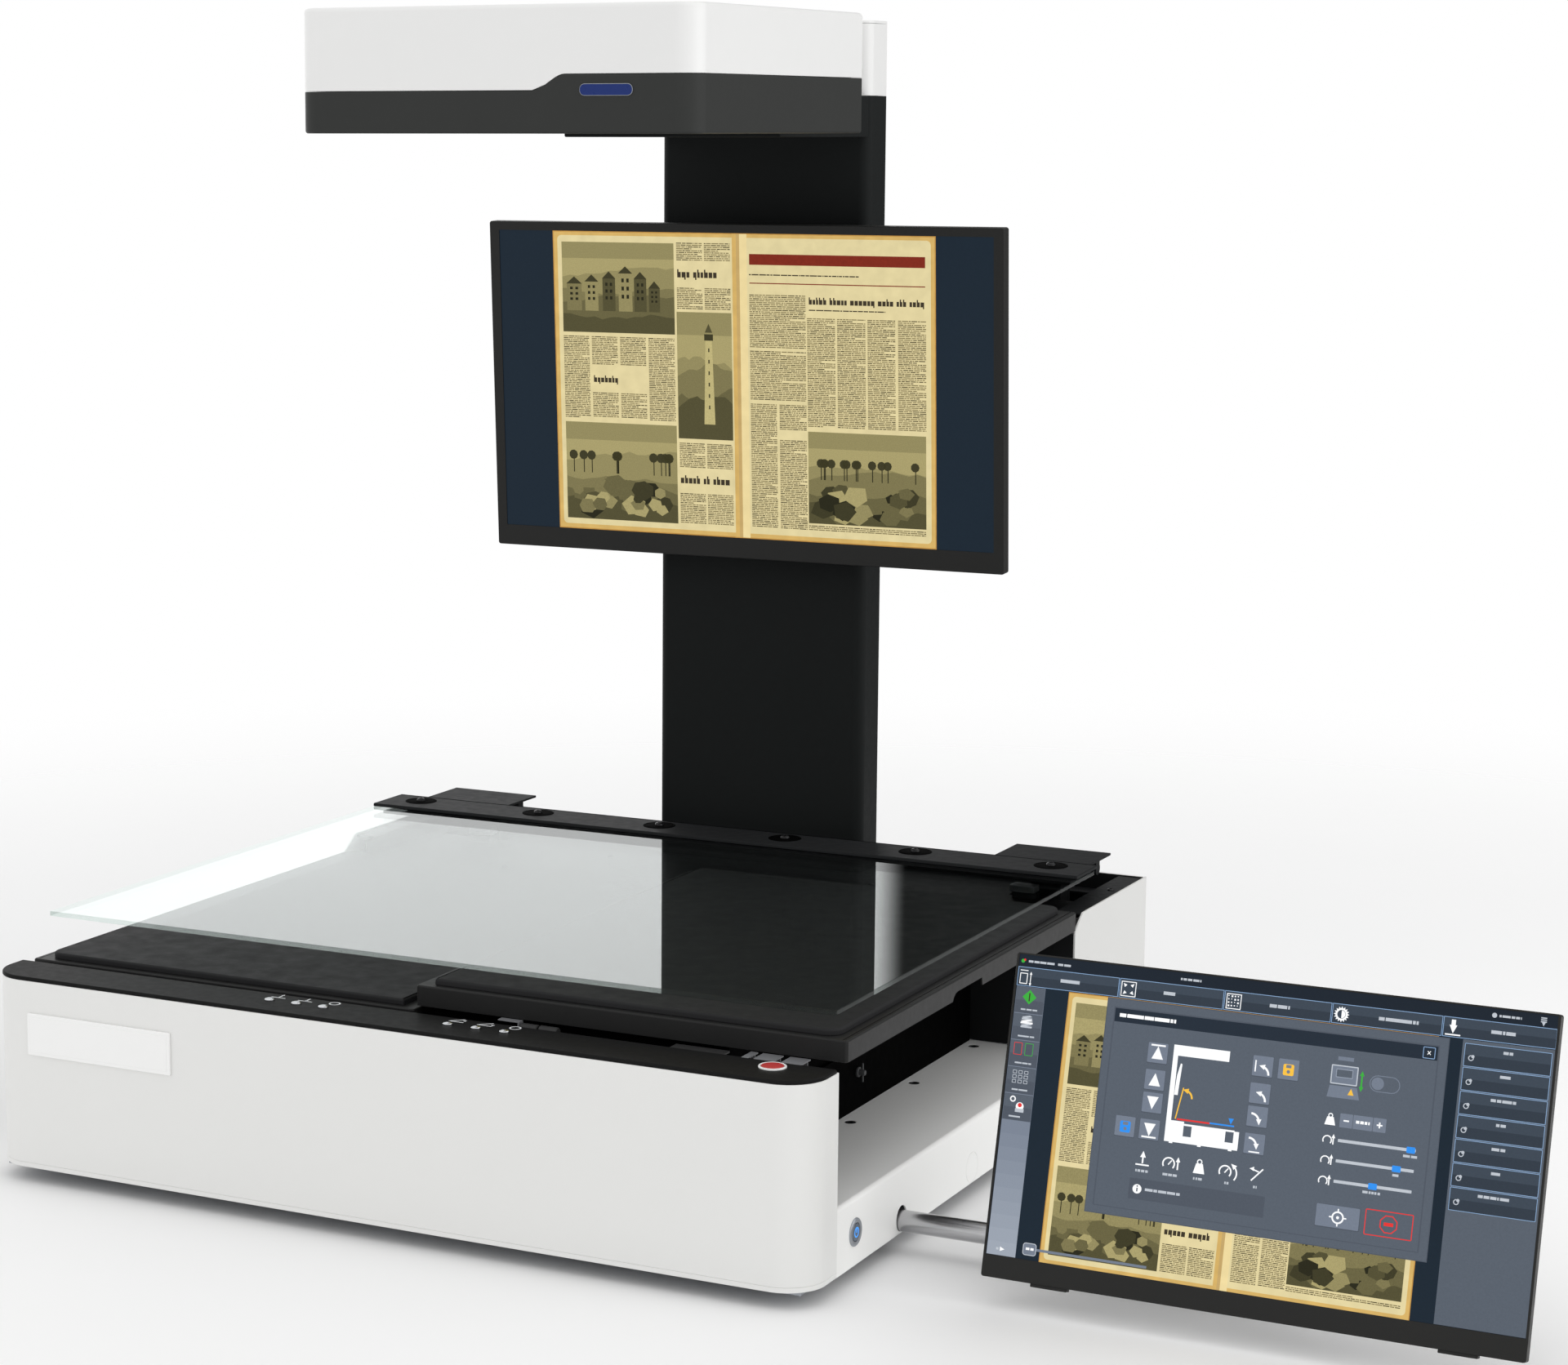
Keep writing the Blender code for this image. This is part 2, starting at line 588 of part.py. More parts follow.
def touchscreen(frame):
    z = BASE_Z + ARM_Z
    clamp_x, half_depth, clamp_height = (0.425, 0.505), 0.030, 0.055
    clamp = box("arm_clamp", (clamp_x[0], ARM_Y - half_depth, BASE_Z),
                (clamp_x[1], ARM_Y + half_depth, BASE_Z + clamp_height), aluminium())
    cut(clamp, cylinder("clamp_bore", (sum(clamp_x) / 2, ARM_Y, z), ARM_RADIUS + GAP, 0.12, "X", sides=32))
    hang([arm_tube(), clamp], frame)

    swivel_pivot = (ARM_POST_X, ARM_Y, BASE_Z + POST_TOP)
    swivel = empty("touchscreen_swivel_axis", swivel_pivot, frame)
    sleeve_low, sleeve_high = BASE_Z + 0.075, BASE_Z + 0.190
    block = cylinder("swivel_block", (ARM_POST_X, ARM_Y, (sleeve_low + sleeve_high) / 2), 0.0205,
                     sleeve_high - sleeve_low, "Z", plastic(), sides=32)
    axis_y, axis_z = TOUCH_AXIS[0], BASE_Z + TOUCH_AXIS[1]
    for sign in (-1, 1):
        x = ARM_POST_X + sign * 0.014
        join(block, cylinder(f"swivel_eye_{sign}", (x, axis_y, axis_z), 0.012, 0.008, "X", sides=24),
             box(f"swivel_ear_{sign}", (x - 0.004, axis_y, axis_z - 0.0115),
                 (x + 0.004, ARM_Y, axis_z + 0.0115)))
    cut(block, cylinder("post_socket", (ARM_POST_X, ARM_Y, sleeve_low), ARM_RADIUS + GAP,
                        2 * (BASE_Z + POST_TOP + GAP - sleeve_low), "Z", sides=32))
    hang([block], swivel, swivel_pivot)

    offset = Vector((0.0, axis_y - ARM_Y, axis_z - swivel_pivot[2]))
    tilt = empty("touchscreen_tilt_axis", offset, swivel, TOUCH_TILT)
    face = -TOUCH_FACE_OFFSET
    plate = box("tilt_plate", (-0.060, face + 0.0365, -0.060), (0.060, face + 0.0395, 0.060), steel())
    join(plate, cylinder("plate_knuckle", (0, 0, 0), 0.0085, 0.0194, "X", sides=24),
         box("knuckle_web", (-0.0097, face + 0.038, -0.0065), (0.0097, 0.0, 0.0065)))
    housing = box("touchscreen_housing", (-TOUCH_WIDTH / 2, face + 0.0005, -TOUCH_HEIGHT / 2),
                  (TOUCH_WIDTH / 2, face + 0.0140, TOUCH_HEIGHT / 2), plastic())
    join(housing, box("touchscreen_bulge", (-0.20, face + 0.010, -0.125), (0.20, face + 0.0362, 0.125)))
    cut(housing, box("touch_recess", (-TOUCH_WIDTH / 2 + 0.003, face - 0.01, -TOUCH_HEIGHT / 2 + 0.003),
                     (TOUCH_WIDTH / 2 - 0.003, face + 0.0045, TOUCH_HEIGHT / 2 - 0.003)))
    panel = box("touchscreen_panel", (-TOUCH_WIDTH / 2 + 0.0033, face, -TOUCH_HEIGHT / 2 + 0.0033),
                (TOUCH_WIDTH / 2 - 0.0033, face + 0.0042, TOUCH_HEIGHT / 2 - 0.0033), plastic())
    hang([plate, housing, panel], tilt)


# ---------------------------------------------------------------- glass plate, its hinges and its lift
BEAM_HALF_WIDTH = 0.470
BEAM_Y = (1.012, 1.032)
BEAM_Z = (0.120, 0.150)
POST_X = (0.420, 0.462)
GUIDE_HALF_WIDTH = 0.050
GUIDE_Y = (0.975, BEAM_Y[0] - GAP)
GUIDE_HEIGHT = 0.225
PIN_RADIUS = 0.005
PIN_X = 0.441
PIN_LENGTH = 0.084
HINGE_PLATE_THICKNESS = 0.0028
KNUCKLES = (("inner", 0.3785, 0.4190), ("outer", 0.4630, 0.5035))
KNUCKLE_RADIUS = 0.0085


def glass_plate(frame):
    lift_pivot = (0.0, HINGE_AXIS_Y, BASE_Z + HINGE_AXIS_Z)
    lift = empty("glass_lift_carriage", lift_pivot, frame)
    axis_z = BASE_Z + HINGE_AXIS_Z
    beam = box("glass_lift_beam", (-BEAM_HALF_WIDTH, BEAM_Y[0], BASE_Z + BEAM_Z[0]),
               (BEAM_HALF_WIDTH, BEAM_Y[1], BASE_Z + BEAM_Z[1]), aluminium())
    pins = []
    for side, sign in (("left", -1), ("right", 1)):
        join(beam, box(f"lift_post_{side}", (sign * POST_X[0], BEAM_Y[0], BASE_Z + BEAM_Z[0]),
                       (sign * POST_X[1], HINGE_AXIS_Y + 0.008, axis_z + 0.008)))
        cut(beam, cylinder(f"pin_hole_{side}", (sign * PIN_X, HINGE_AXIS_Y, axis_z), PIN_RADIUS + GAP, 0.2,
                           "X", sides=24))
        pins.append(cylinder(f"{side}_hinge_pin", (sign * PIN_X, HINGE_AXIS_Y, axis_z), PIN_RADIUS,
                             PIN_LENGTH, "X", steel(), sides=24))
    hang([beam] + pins, lift, lift_pivot)

    turn = empty("glass_tilt_axis", (0, 0, 0), lift)
    pieces = []
    bottom = BASE_Z + GLASS_TOP - GLASS_THICKNESS
    top = BASE_Z + GLASS_TOP
    pieces.append(box("glass_plate", (-GLASS_HALF_WIDTH, GLASS_FRONT_Y, bottom),
                      (GLASS_HALF_WIDTH, GLASS_REAR_Y, top), clear_glass()))
    pieces.append(box("clamp_bar", (-BAR_HALF_WIDTH, BAR_FRONT_Y, top + GAP),
                      (BAR_HALF_WIDTH, BAR_REAR_Y, top + GAP + BAR_THICKNESS), black()))
    strip_top = bottom - GAP
    pieces.append(box("lower_clamp_strip", (-STRIP_HALF_WIDTH, STRIP_Y[0], strip_top - STRIP_THICKNESS),
                      (STRIP_HALF_WIDTH, STRIP_Y[1], strip_top), black()))
    for side, sign in (("left", -1), ("right", 1)):
        plate_top = strip_top + HINGE_PLATE_THICKNESS
        plate = box(f"{side}_hinge_plate", (sign * HINGE_X[0], STRIP_Y[1] + GAP, strip_top - 0.0002),
                    (sign * HINGE_X[1], HINGE_PLATE_REAR_Y, plate_top), black())
        join(plate, box(f"plate_tongue_{side}", (sign * HINGE_X[0], GLASS_REAR_Y + 0.001, strip_top + GAP),
                        (sign * HINGE_X[1], STRIP_Y[1] + 0.0015, plate_top)))
        for part, x0, x1 in KNUCKLES:
            join(plate, cylinder(f"knuckle_{side}_{part}", (sign * (x0 + x1) / 2, HINGE_AXIS_Y, axis_z),
                                 KNUCKLE_RADIUS, x1 - x0, "X", sides=24),
                 box(f"web_{side}_{part}", (sign * x0, HINGE_AXIS_Y - 0.007, axis_z),
                     (sign * x1, HINGE_AXIS_Y + 0.007, strip_top + 0.001)))
        cut(plate, cylinder(f"knuckle_bore_{side}", (sign * PIN_X, HINGE_AXIS_Y, axis_z), PIN_RADIUS + GAP,
                            PIN_LENGTH + 2 * GAP, "X", sides=24))
        pieces.append(plate)
    hang(pieces, turn, lift_pivot)

    guide = box("glass_lift_guide", (-GUIDE_HALF_WIDTH, GUIDE_Y[0], BASE_Z),
                (GUIDE_HALF_WIDTH, GUIDE_Y[1], BASE_Z + GUIDE_HEIGHT), steel())
    hang([guide], frame)


# ---------------------------------------------------------------- book trays and their lifts
CARRIER_THICKNESS = 0.006
ROD_RADIUS = 0.011
ROD_LENGTH = 0.175
ROD_X = (0.150, 0.330)
LIFT_Y = 0.460
LIFT_UNIT_HEIGHT = 0.150
SKIRT_X = (0.020, 0.402)
SKIRT_Y = (0.110, 0.812)
SKIRT_WALL = 0.0025
SKIRT_HEIGHT = 0.125


def book_tray(frame, side, sign, top):
    pivot = (sign * (TRAY_INNER_X + TRAY_OUTER_X) / 2, LIFT_Y, BASE_Z + top)
    lift = empty(f"{side}_tray_lift_axis", pivot, frame)
    z = BASE_Z + top
    tray = box(f"{side}_tray", (sign * TRAY_INNER_X, TRAY_FRONT_Y, z - TRAY_FLANGE),
               (sign * TRAY_OUTER_X, TRAY_REAR_Y, z), black())
    cut(tray, box(f"{side}_tray_hollow", (sign * (TRAY_INNER_X + SHEET), TRAY_FRONT_Y + SHEET, z - 0.1),
                  (sign * (TRAY_OUTER_X - SHEET), TRAY_REAR_Y - SHEET, z - SHEET)))
    notch = [(0.400, z - 0.0355), (0.4238, z - 0.0150), (0.4960, z - 0.0150), (0.4960, z - 0.0355)]
    low_x, high_x = sorted((sign * 0.545, sign * 0.560))
    cut(tray, prism(f"{side}_tray_notch", notch, low_x, high_x, "YZ"))
    pad_outline = rounded_rectangle((TRAY_INNER_X + PAD_INNER_INSET, TRAY_FRONT_Y + PAD_FRONT_INSET),
                                    (TRAY_OUTER_X - PAD_INSET, TRAY_REAR_Y - PAD_FRONT_INSET), 0.018,
                                    (False, True, True, False), 5)
    pad_outline = [(sign * x, y) for x, y in pad_outline]
    pad = prism(f"{side}_tray_mat", pad_outline, z + GAP, z + PAD_THICKNESS, "XY", mat_pad())
    under = z - SHEET - GAP
    skirt_low = under - SKIRT_HEIGHT
    carrier = box(f"{side}_lift_carrier", (sign * SKIRT_X[0], SKIRT_Y[0], under - CARRIER_THICKNESS),
                  (sign * SKIRT_X[1], SKIRT_Y[1], under), black())
    join(carrier, box(f"{side}_skirt", (sign * (SKIRT_X[1] - SKIRT_WALL), SKIRT_Y[0], skirt_low),
                      (sign * SKIRT_X[1], SKIRT_Y[1], under - CARRIER_THICKNESS / 2)))
    join(carrier, box(f"{side}_front_skirt", (sign * SKIRT_X[0], SKIRT_Y[0], skirt_low),
                      (sign * (SKIRT_X[1] - SKIRT_WALL / 2), SKIRT_Y[0] + SKIRT_WALL,
                       under - CARRIER_THICKNESS / 2)))
    unit = box(f"{side}_lift_unit", (sign * 0.110, LIFT_Y - 0.045, BASE_Z), (sign * 0.370, LIFT_Y + 0.045,
               BASE_Z + LIFT_UNIT_HEIGHT), aluminium())
    for i, x in enumerate(ROD_X):
        join(carrier, cylinder(f"{side}_rod_{i}", (sign * x, LIFT_Y, under - ROD_LENGTH / 2), ROD_RADIUS,
                               ROD_LENGTH, "Z", sides=20))
        cut(unit, cylinder(f"{side}_rod_bore_{i}", (sign * x, LIFT_Y, BASE_Z + 0.1), ROD_RADIUS + GAP, 0.4,
                           "Z", sides=20))
    hang([tray, pad, carrier], lift, pivot)
    hang([unit], frame)


# ---------------------------------------------------------------- buttons
BUTTON_NAMES = ("glass_up_button", "glass_down_button", "glass_park_button",
                "tilt_open_button", "tilt_close_button", "tilt_park_button")
BUTTON_PROUD = 0.0024
BUTTON_LENGTH = 0.014
STOP_LENGTH = 0.018
STOP_PROUD = 0.0036
POWER_LENGTH = 0.024
POWER_PROUD = 0.0020


def buttons(frame):
    for name, (x, y) in zip(BUTTON_NAMES, small_button_places()):
        pivot = (x, y, PLATE_TOP)
        centre = (x, y, PLATE_TOP + BUTTON_PROUD - BUTTON_LENGTH / 2)
        cap = cylinder(name, centre, SMALL_BUTTON_RADIUS, BUTTON_LENGTH, "Z", steel(), sides=20)
        hang([cap], empty(name + "_axis", pivot, frame), pivot)
    pivot = (*STOP_BUTTON, PLATE_TOP)
    centre = (*STOP_BUTTON, PLATE_TOP + STOP_PROUD - STOP_LENGTH / 2)
    red = material("stop_red", (0.55, 0.02, 0.02), 0.35)
    cap = cylinder("stop_button", centre, STOP_RADIUS, STOP_LENGTH, "Z", red, sides=28)
    hang([cap], empty("stop_button_axis", pivot, frame), pivot)
    y, z = POWER_BUTTON[0], BASE_Z + POWER_BUTTON[1]
    pivot = (HALF_WIDTH, y, z)
    centre = (HALF_WIDTH + POWER_PROUD - POWER_LENGTH / 2, y, z)
    blue = material("power_blue", (0.10, 0.30, 0.65), 0.3)
    cap = cylinder("power_button", centre, POWER_RADIUS, POWER_LENGTH, "X", blue, sides=28)
    hang([cap], empty("power_button_axis", pivot, frame), pivot)


def build():
    clear_scene()
    frame = empty("machine_frame", -BOX_CENTRE, None)
    fixed = (floor_and_feet() + front_cover() + control_plate() + side_housings() + rear_panels()
             + rear_deck() + rear_cover_and_inlet() + column() + neck() + head())
    hang(fixed, frame)
    preview_monitor(frame)
    touchscreen(frame)
    glass_plate(frame)
    book_tray(frame, "left", -1, LEFT_TRAY_TOP)
    book_tray(frame, "right", 1, RIGHT_TRAY_TOP)
    buttons(frame)


build()
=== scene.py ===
import json
import random
from math import cos, degrees, hypot, pi, radians, sin, tau

import bmesh
import bpy
from mathutils import Matrix, Vector


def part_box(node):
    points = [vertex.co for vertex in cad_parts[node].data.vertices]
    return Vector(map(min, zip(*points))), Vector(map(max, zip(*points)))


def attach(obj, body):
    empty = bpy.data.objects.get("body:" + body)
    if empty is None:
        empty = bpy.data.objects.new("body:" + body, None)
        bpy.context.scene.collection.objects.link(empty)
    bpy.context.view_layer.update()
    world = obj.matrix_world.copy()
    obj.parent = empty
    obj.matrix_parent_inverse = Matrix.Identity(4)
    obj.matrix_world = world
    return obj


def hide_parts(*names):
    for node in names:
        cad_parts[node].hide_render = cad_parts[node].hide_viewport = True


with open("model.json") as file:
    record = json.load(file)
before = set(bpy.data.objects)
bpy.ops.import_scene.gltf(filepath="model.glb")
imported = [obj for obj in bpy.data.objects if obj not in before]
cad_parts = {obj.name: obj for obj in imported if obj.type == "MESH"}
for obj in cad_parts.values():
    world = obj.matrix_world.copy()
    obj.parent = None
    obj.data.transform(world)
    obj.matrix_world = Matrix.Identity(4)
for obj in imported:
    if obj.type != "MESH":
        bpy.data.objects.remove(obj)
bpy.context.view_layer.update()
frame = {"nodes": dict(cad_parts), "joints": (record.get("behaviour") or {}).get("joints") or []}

scene = bpy.context.scene

# The machine's own frame: X = 0 in the middle of the base, Y = 0 at its front face, Z = 0 at the floor.
cover_low, cover_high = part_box("front_cover")
ORIGIN = Vector(((cover_low.x + cover_high.x) / 2, cover_low.y, 0.0))
MACHINE = Matrix.Translation(ORIGIN)
MM = 0.001
SHARP = radians(38)
FIT = 0.0003  # the gap round a piece that sits in a hole
SIDES = (("left", -1), ("right", 1))


def span(node):
    """A CAD node's lowest and highest corners in the machine's frame."""
    low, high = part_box(node)
    return low - ORIGIN, high - ORIGIN


# ---------------------------------------------------------------- materials
def linear(colour):
    """An sRGB colour, 0 to 255, as linear light."""
    shares = [c / 255 for c in colour]
    return tuple(s / 12.92 if s <= 0.04045 else ((s + 0.055) / 1.055) ** 2.4 for s in shares)


def node(tree, kind, inputs=None, **settings):
    made = tree.nodes.new("ShaderNode" + kind)
    for key, value in settings.items():
        setattr(made, key, value)
    for key, value in (inputs or {}).items():
        if isinstance(value, bpy.types.NodeSocket):
            tree.links.new(value, made.inputs[key])
        else:
            made.inputs[key].default_value = value
    return made


def noise(tree, place, scale, detail=2.0):
    return node(tree, "TexNoise", {"Vector": place, "Scale": scale, "Detail": detail}).outputs["Fac"]


def shades(tree, factor, colour, spread):
    """A darker and a lighter shade of a colour, mixed by a pattern."""
    mix = node(tree, "Mix", {0: factor}, data_type="RGBA")
    mix.inputs[6].default_value = [c * (1 - spread) for c in colour] + [1.0]
    mix.inputs[7].default_value = [min(1.0, c * (1 + spread)) for c in colour] + [1.0]
    return mix.outputs[2]


def blank(name):
    """A new material, its node tree, its shader and the object's own coordinates."""
    made = bpy.data.materials.new(name)
    made.use_nodes = True
    tree = made.node_tree
    return made, tree, tree.nodes["Principled BSDF"], node(tree, "TexCoord").outputs["Object"]


def surface(name, colour, rough, grain, bump, mottle, gloss=0.5, metallic=0.0, vary=0.06, depth=0.0002,
            stretch=(1, 1, 1), coat=0.0, cells=False):
    """A solid finish: broad shade variation, a roughness that wanders and a fine surface grain."""
    made, tree, shader, place = blank(name)
    scaled = node(tree, "Mapping", {"Vector": place, "Scale": stretch}).outputs["Vector"]
    broad, middle = noise(tree, place, 7.0, 3.0), noise(tree, scaled, grain / 9, 3.0)
    if cells:
        fine = node(tree, "TexVoronoi", {"Vector": scaled, "Scale": grain}, feature="SMOOTH_F1").outputs[0]
    else:
        fine = noise(tree, scaled, grain)
    blend = node(tree, "Math", {0: broad, 1: 0.65}, operation="MULTIPLY").outputs[0]
    blend = node(tree, "Math", {0: middle, 1: 0.35, 2: blend}, operation="MULTIPLY_ADD").outputs[0]
    roughness = node(tree, "MapRange", {"Value": middle, "From Min": 0.3, "From Max": 0.7,
                                        "To Min": max(0.02, rough - vary), "To Max": rough + vary})
    relief = node(tree, "Bump", {"Height": fine, "Strength": bump, "Distance": depth})
    tree.links.new(shades(tree, blend, linear(colour), mottle * 2.2), shader.inputs["Base Color"])
    tree.links.new(roughness.outputs[0], shader.inputs["Roughness"])
    tree.links.new(relief.outputs["Normal"], shader.inputs["Normal"])
    for key, value in (("Metallic", metallic), ("Specular IOR Level", gloss), ("Coat Weight", coat),
                       ("Coat Roughness", 0.12)):
        shader.inputs[key].default_value = value
    return made


def glow(name, colour, grain=0.05, scale=420.0, strength=1.0):
    """A lit part of a display, with the faint unevenness of a backlit panel."""
    made, tree, shader, place = blank(name)
    light = linear(colour)
    tree.links.new(shades(tree, noise(tree, place, scale), light, grain * 2), shader.inputs["Emission Color"])
    for key, value in (("Base Color", [c * 0.12 for c in light] + [1.0]), ("Emission Strength", strength),
                       ("Roughness", 0.45), ("Specular IOR Level", 0.12)):
        shader.inputs[key].default_value = value
    return made


def clear_glass(name, index, colour):
    """Float glass as a thin pane: what it mirrors depends on the angle, and lamps shine through it."""
    made, tree, shader, place = blank(name)
    tree.nodes.remove(shader)
    haze = noise(tree, place, 3.0, 4.0)
    smear = node(tree, "MapRange", {"Value": haze, "To Min": 0.0, "To Max": 0.018}).outputs[0]
    through = node(tree, "BsdfTransparent", {"Color": shades(tree, haze, colour, 0.008)})
    mirror = node(tree, "BsdfGlossy", {"Color": (0.96, 0.98, 0.98, 1.0), "Roughness": smear})
    behind = node(tree, "NewGeometry").outputs["Backfacing"]
    bend = node(tree, "MapRange", {"Value": behind, "To Min": index, "To Max": 1 / index}).outputs[0]
    share = node(tree, "Fresnel", {"IOR": bend})
    mixed = node(tree, "MixShader", {0: share.outputs[0], 1: through.outputs[0], 2: mirror.outputs[0]})
    tree.links.new(mixed.outputs[0], tree.nodes["Material Output"].inputs["Surface"])
    return made


# name, sRGB colour, roughness, grain scale, bump, mottle, gloss
WHITE = surface("white_powder_coat", (233, 233, 231), 0.42, 900, 0.08, 0.006, 0.35, vary=0.02)
# Painted shade: the rear side panels wear the same white paint as the covers, darkened here because the side
# lamp lights them more than the side covers.
WHITE_REAR_SHADED = surface("white_rear_panels_painted_shade", (216, 216, 214), 0.42, 900, 0.08, 0.006, 0.3, vary=0.02)
# Painted light: the side covers wear the same white paint as the front cover, made lighter here because they
# sit in the shade of the trays and the touchscreen.
WHITE_LEDGE_LIT = surface("white_side_covers_painted_light", (246, 246, 244), 0.4, 900, 0.08, 0.006, 0.35, vary=0.02)
WHITE_SATIN = surface("white_moulding", (234, 234, 233), 0.32, 500, 0.04, 0.005, 0.4, vary=0.02)
WHITE_PLATE = surface("white_plate", (246, 246, 245), 0.22, 300, 0.03, 0.005, coat=0.3, vary=0.02)
BLACK = surface("black_powder_coat", (27, 28, 29), 0.52, 1100, 0.16, 0.05, 0.1, vary=0.04)
COLUMN_BLACK = surface("column_black", (28, 30, 30), 0.5, 900, 0.12, 0.04, 0.06, vary=0.04)
PLATE_BLACK = surface("control_plate_black", (28, 28, 28), 0.46, 800, 0.08, 0.04, 0.04, vary=0.03)
TRAY_BLACK = surface("tray_black", (36, 36, 36), 0.42, 900, 0.1, 0.04, 0.16, vary=0.03)
BAR_BLACK = surface("anodised_black", (37, 38, 39), 0.46, 700, 0.06, 0.03, 0.03, vary=0.04)
# Near black; the strip along the clamp bar's rear top edge uses it as painted shade.
PIT_BLACK = surface("inner_black", (5, 5, 5), 0.7, 800, 0.15, 0.15, 0.01, depth=0.0004)
GRAPHITE = surface("graphite_moulding", (55, 56, 55), 0.42, 650, 0.08, 0.03, 0.07, vary=0.03)
MAT = surface("non_slip_mat", (40, 40, 41), 0.62, 420, 0.25, 0.07, 0.12, depth=0.0004, cells=True)
BEZEL = surface("bezel_black", (38, 38, 37), 0.42, 1200, 0.12, 0.04, 0.16, vary=0.03)
BACK_PLASTIC = surface("rear_plastic", (36, 36, 36), 0.55, 1300, 0.25, 0.05, 0.25)
STEEL = surface("brushed_steel", (190, 190, 192), 0.24, 700, 0.02, 0.015, metallic=1.0, stretch=(0.04, 1, 1),
                vary=0.02, depth=0.0001)
BRIGHT = surface("polished_steel", (214, 216, 219), 0.16, 600, 0.05, 0.04, metallic=1.0, vary=0.04,
                 depth=0.0001)
ZINC = surface("zinc_plate", (168, 172, 178), 0.38, 160, 0.08, 0.1, metallic=0.9, cells=True)
ALUMINIUM = surface("milled_aluminium", (186, 188, 190), 0.34, 500, 0.1, 0.05, metallic=0.9,
                    stretch=(1, 1, 0.06))
DULL_STEEL = surface("dull_steel", (128, 129, 132), 0.5, 500, 0.1, 0.06, 0.3, 0.3)
GREY_DARK = surface("dark_casting", (52, 52, 52), 0.5, 500, 0.12, 0.08, 0.2, depth=0.0004)
GREY_BLOCK = surface("grey_casting", (84, 85, 86), 0.5, 500, 0.2, 0.1, 0.3, 0.2, depth=0.0004)
DARK_STEEL = surface("blackened_screw", (22, 22, 24), 0.3, 900, 0.08, 0.08, 0.4, 0.4)
RUBBER = surface("foot_rubber", (30, 30, 30), 0.78, 600, 0.3, 0.12, 0.3, depth=0.0004)
RED = surface("red_cap", (188, 52, 54), 0.34, 500, 0.05, 0.06, coat=0.2, depth=0.0004)
BADGE = surface("badge_blue", (26, 46, 108), 0.3, 500, 0.05, 0.06, 0.2, depth=0.0004)
INK = surface("legend_white", (232, 234, 236), 0.5, 900, 0.05, 0.04, depth=0.0004)
DIFFUSER = surface("lamp_diffuser", (236, 236, 230), 0.35, 260, 0.25, 0.03, stretch=(1, 0.1, 1), coat=0.2,
                   depth=0.0004)
LENS_GLASS = surface("lens_coating", (22, 26, 44), 0.06, 40, 0.0, 0.35, 0.9, coat=1.0, vary=0.02,
                     depth=0.0004)
POWER_FACE = surface("power_face", (118, 128, 140), 0.3, 500, 0.06, 0.08, metallic=0.8, depth=0.0004)
BLUE_RING = glow("power_ring", (70, 150, 235), strength=1.3)
GLASS = clear_glass("float_glass", 1.52, (0.955, 0.975, 0.968))
GLASS_EDGE = clear_glass("ground_glass_edge", 1.16, (0.8, 0.85, 0.83))


# ---------------------------------------------------------------- shapes
def mesh_object(name, bm, place):
    """The shapes in bm as a new object."""
    bmesh.ops.recalc_face_normals(bm, faces=bm.faces)
    mesh = bpy.data.meshes.new(name)
    bm.to_mesh(mesh)
    bm.free()
    obj = bpy.data.objects.new(name, mesh)
    scene.collection.objects.link(obj)
    obj.matrix_world = place
    return obj


def put(name, bm, finish, slot=None, replaces=None, body="base", place=MACHINE):
    """Makes the finished mesh a piece that rides on a CAD body and may stand for a CAD node."""
    obj = mesh_object(name, bm, place)
    for one in finish if isinstance(finish, list) else [finish]:
        obj.data.materials.append(one)
    obj.data.shade_smooth()
    obj.data.set_sharp_from_angle(angle=SHARP)
    obj.modifiers.new("even_shading", "WEIGHTED_NORMAL").keep_sharp = True
    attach(obj, body)
    if replaces:
        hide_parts(replaces)
    return obj


def carve(obj, bm, overlaps=False):
    """Cuts the shapes in bm out of a piece; overlaps says that the piece is made of crossing bodies."""
    cutter = mesh_object("cutter", bm, obj.matrix_world)
    change = obj.modifiers.new("cut", "BOOLEAN")
    change.operation, change.solver, change.object = "DIFFERENCE", "EXACT", cutter
    change.use_self = overlaps
    obj.modifiers.move(len(obj.modifiers) - 1, 0)
    weighted = obj.modifiers["even_shading"]
    weighted.show_viewport = False
    bpy.context.view_layer.update()
    result = bpy.data.meshes.new_from_object(obj.evaluated_get(bpy.context.evaluated_depsgraph_get()))
    weighted.show_viewport = True
    obj.modifiers.remove(change)
    obj.data = result
    result.shade_smooth()
    result.set_sharp_from_angle(angle=SHARP)
    bpy.data.objects.remove(cutter)


def finish_node(name, finish, edge=0.0005):
    """A CAD node whose shape is right: welded, its edges softened, with a real finish."""
    obj = frame["nodes"][name]
    obj.data.materials.clear()
    obj.data.materials.append(finish)
    for polygon in obj.data.polygons:
        polygon.use_smooth = True
    obj.modifiers.new("weld", "WELD").merge_threshold = 0.00002
    soft = obj.modifiers.new("soft_edges", "BEVEL")
    soft.width, soft.segments, soft.limit_method = edge, 2, "ANGLE"
    soft.angle_limit = radians(32)
    soft.harden_normals = True
    obj.modifiers.new("even_shading", "WEIGHTED_NORMAL").keep_sharp = True


def polar(centre, radius, angle):
    return (centre[0] + radius * cos(angle), centre[1] + radius * sin(angle))


def quarter(steps):
    """Sine and cosine from 0 to 90 degrees, less than one, for rounding an edge."""
    turns = [pi / 2 * i / steps for i in range(steps + 1)]
    return [(1 - sin(a), 1 - cos(a)) for a in turns]


def arc(centre, radius, start, end, steps=6):
    return [polar(centre, radius, radians(start + (end - start) * i / steps)) for i in range(steps + 1)]


def rounded(low, high, radii, steps=6):
    """An outline, anticlockwise from the lower left corner, with one radius or one for each corner."""
    (x0, y0), (x1, y1) = low, high
    r = radii if isinstance(radii, list) else [radii] * 4
    return (arc((x0 + r[0], y0 + r[0]), r[0], 180, 270, steps)
            + arc((x1 - r[1], y0 + r[1]), r[1], 270, 360, steps)
            + arc((x1 - r[2], y1 - r[2]), r[2], 0, 90, steps)
            + arc((x0 + r[3], y1 - r[3]), r[3], 90, 180, steps))


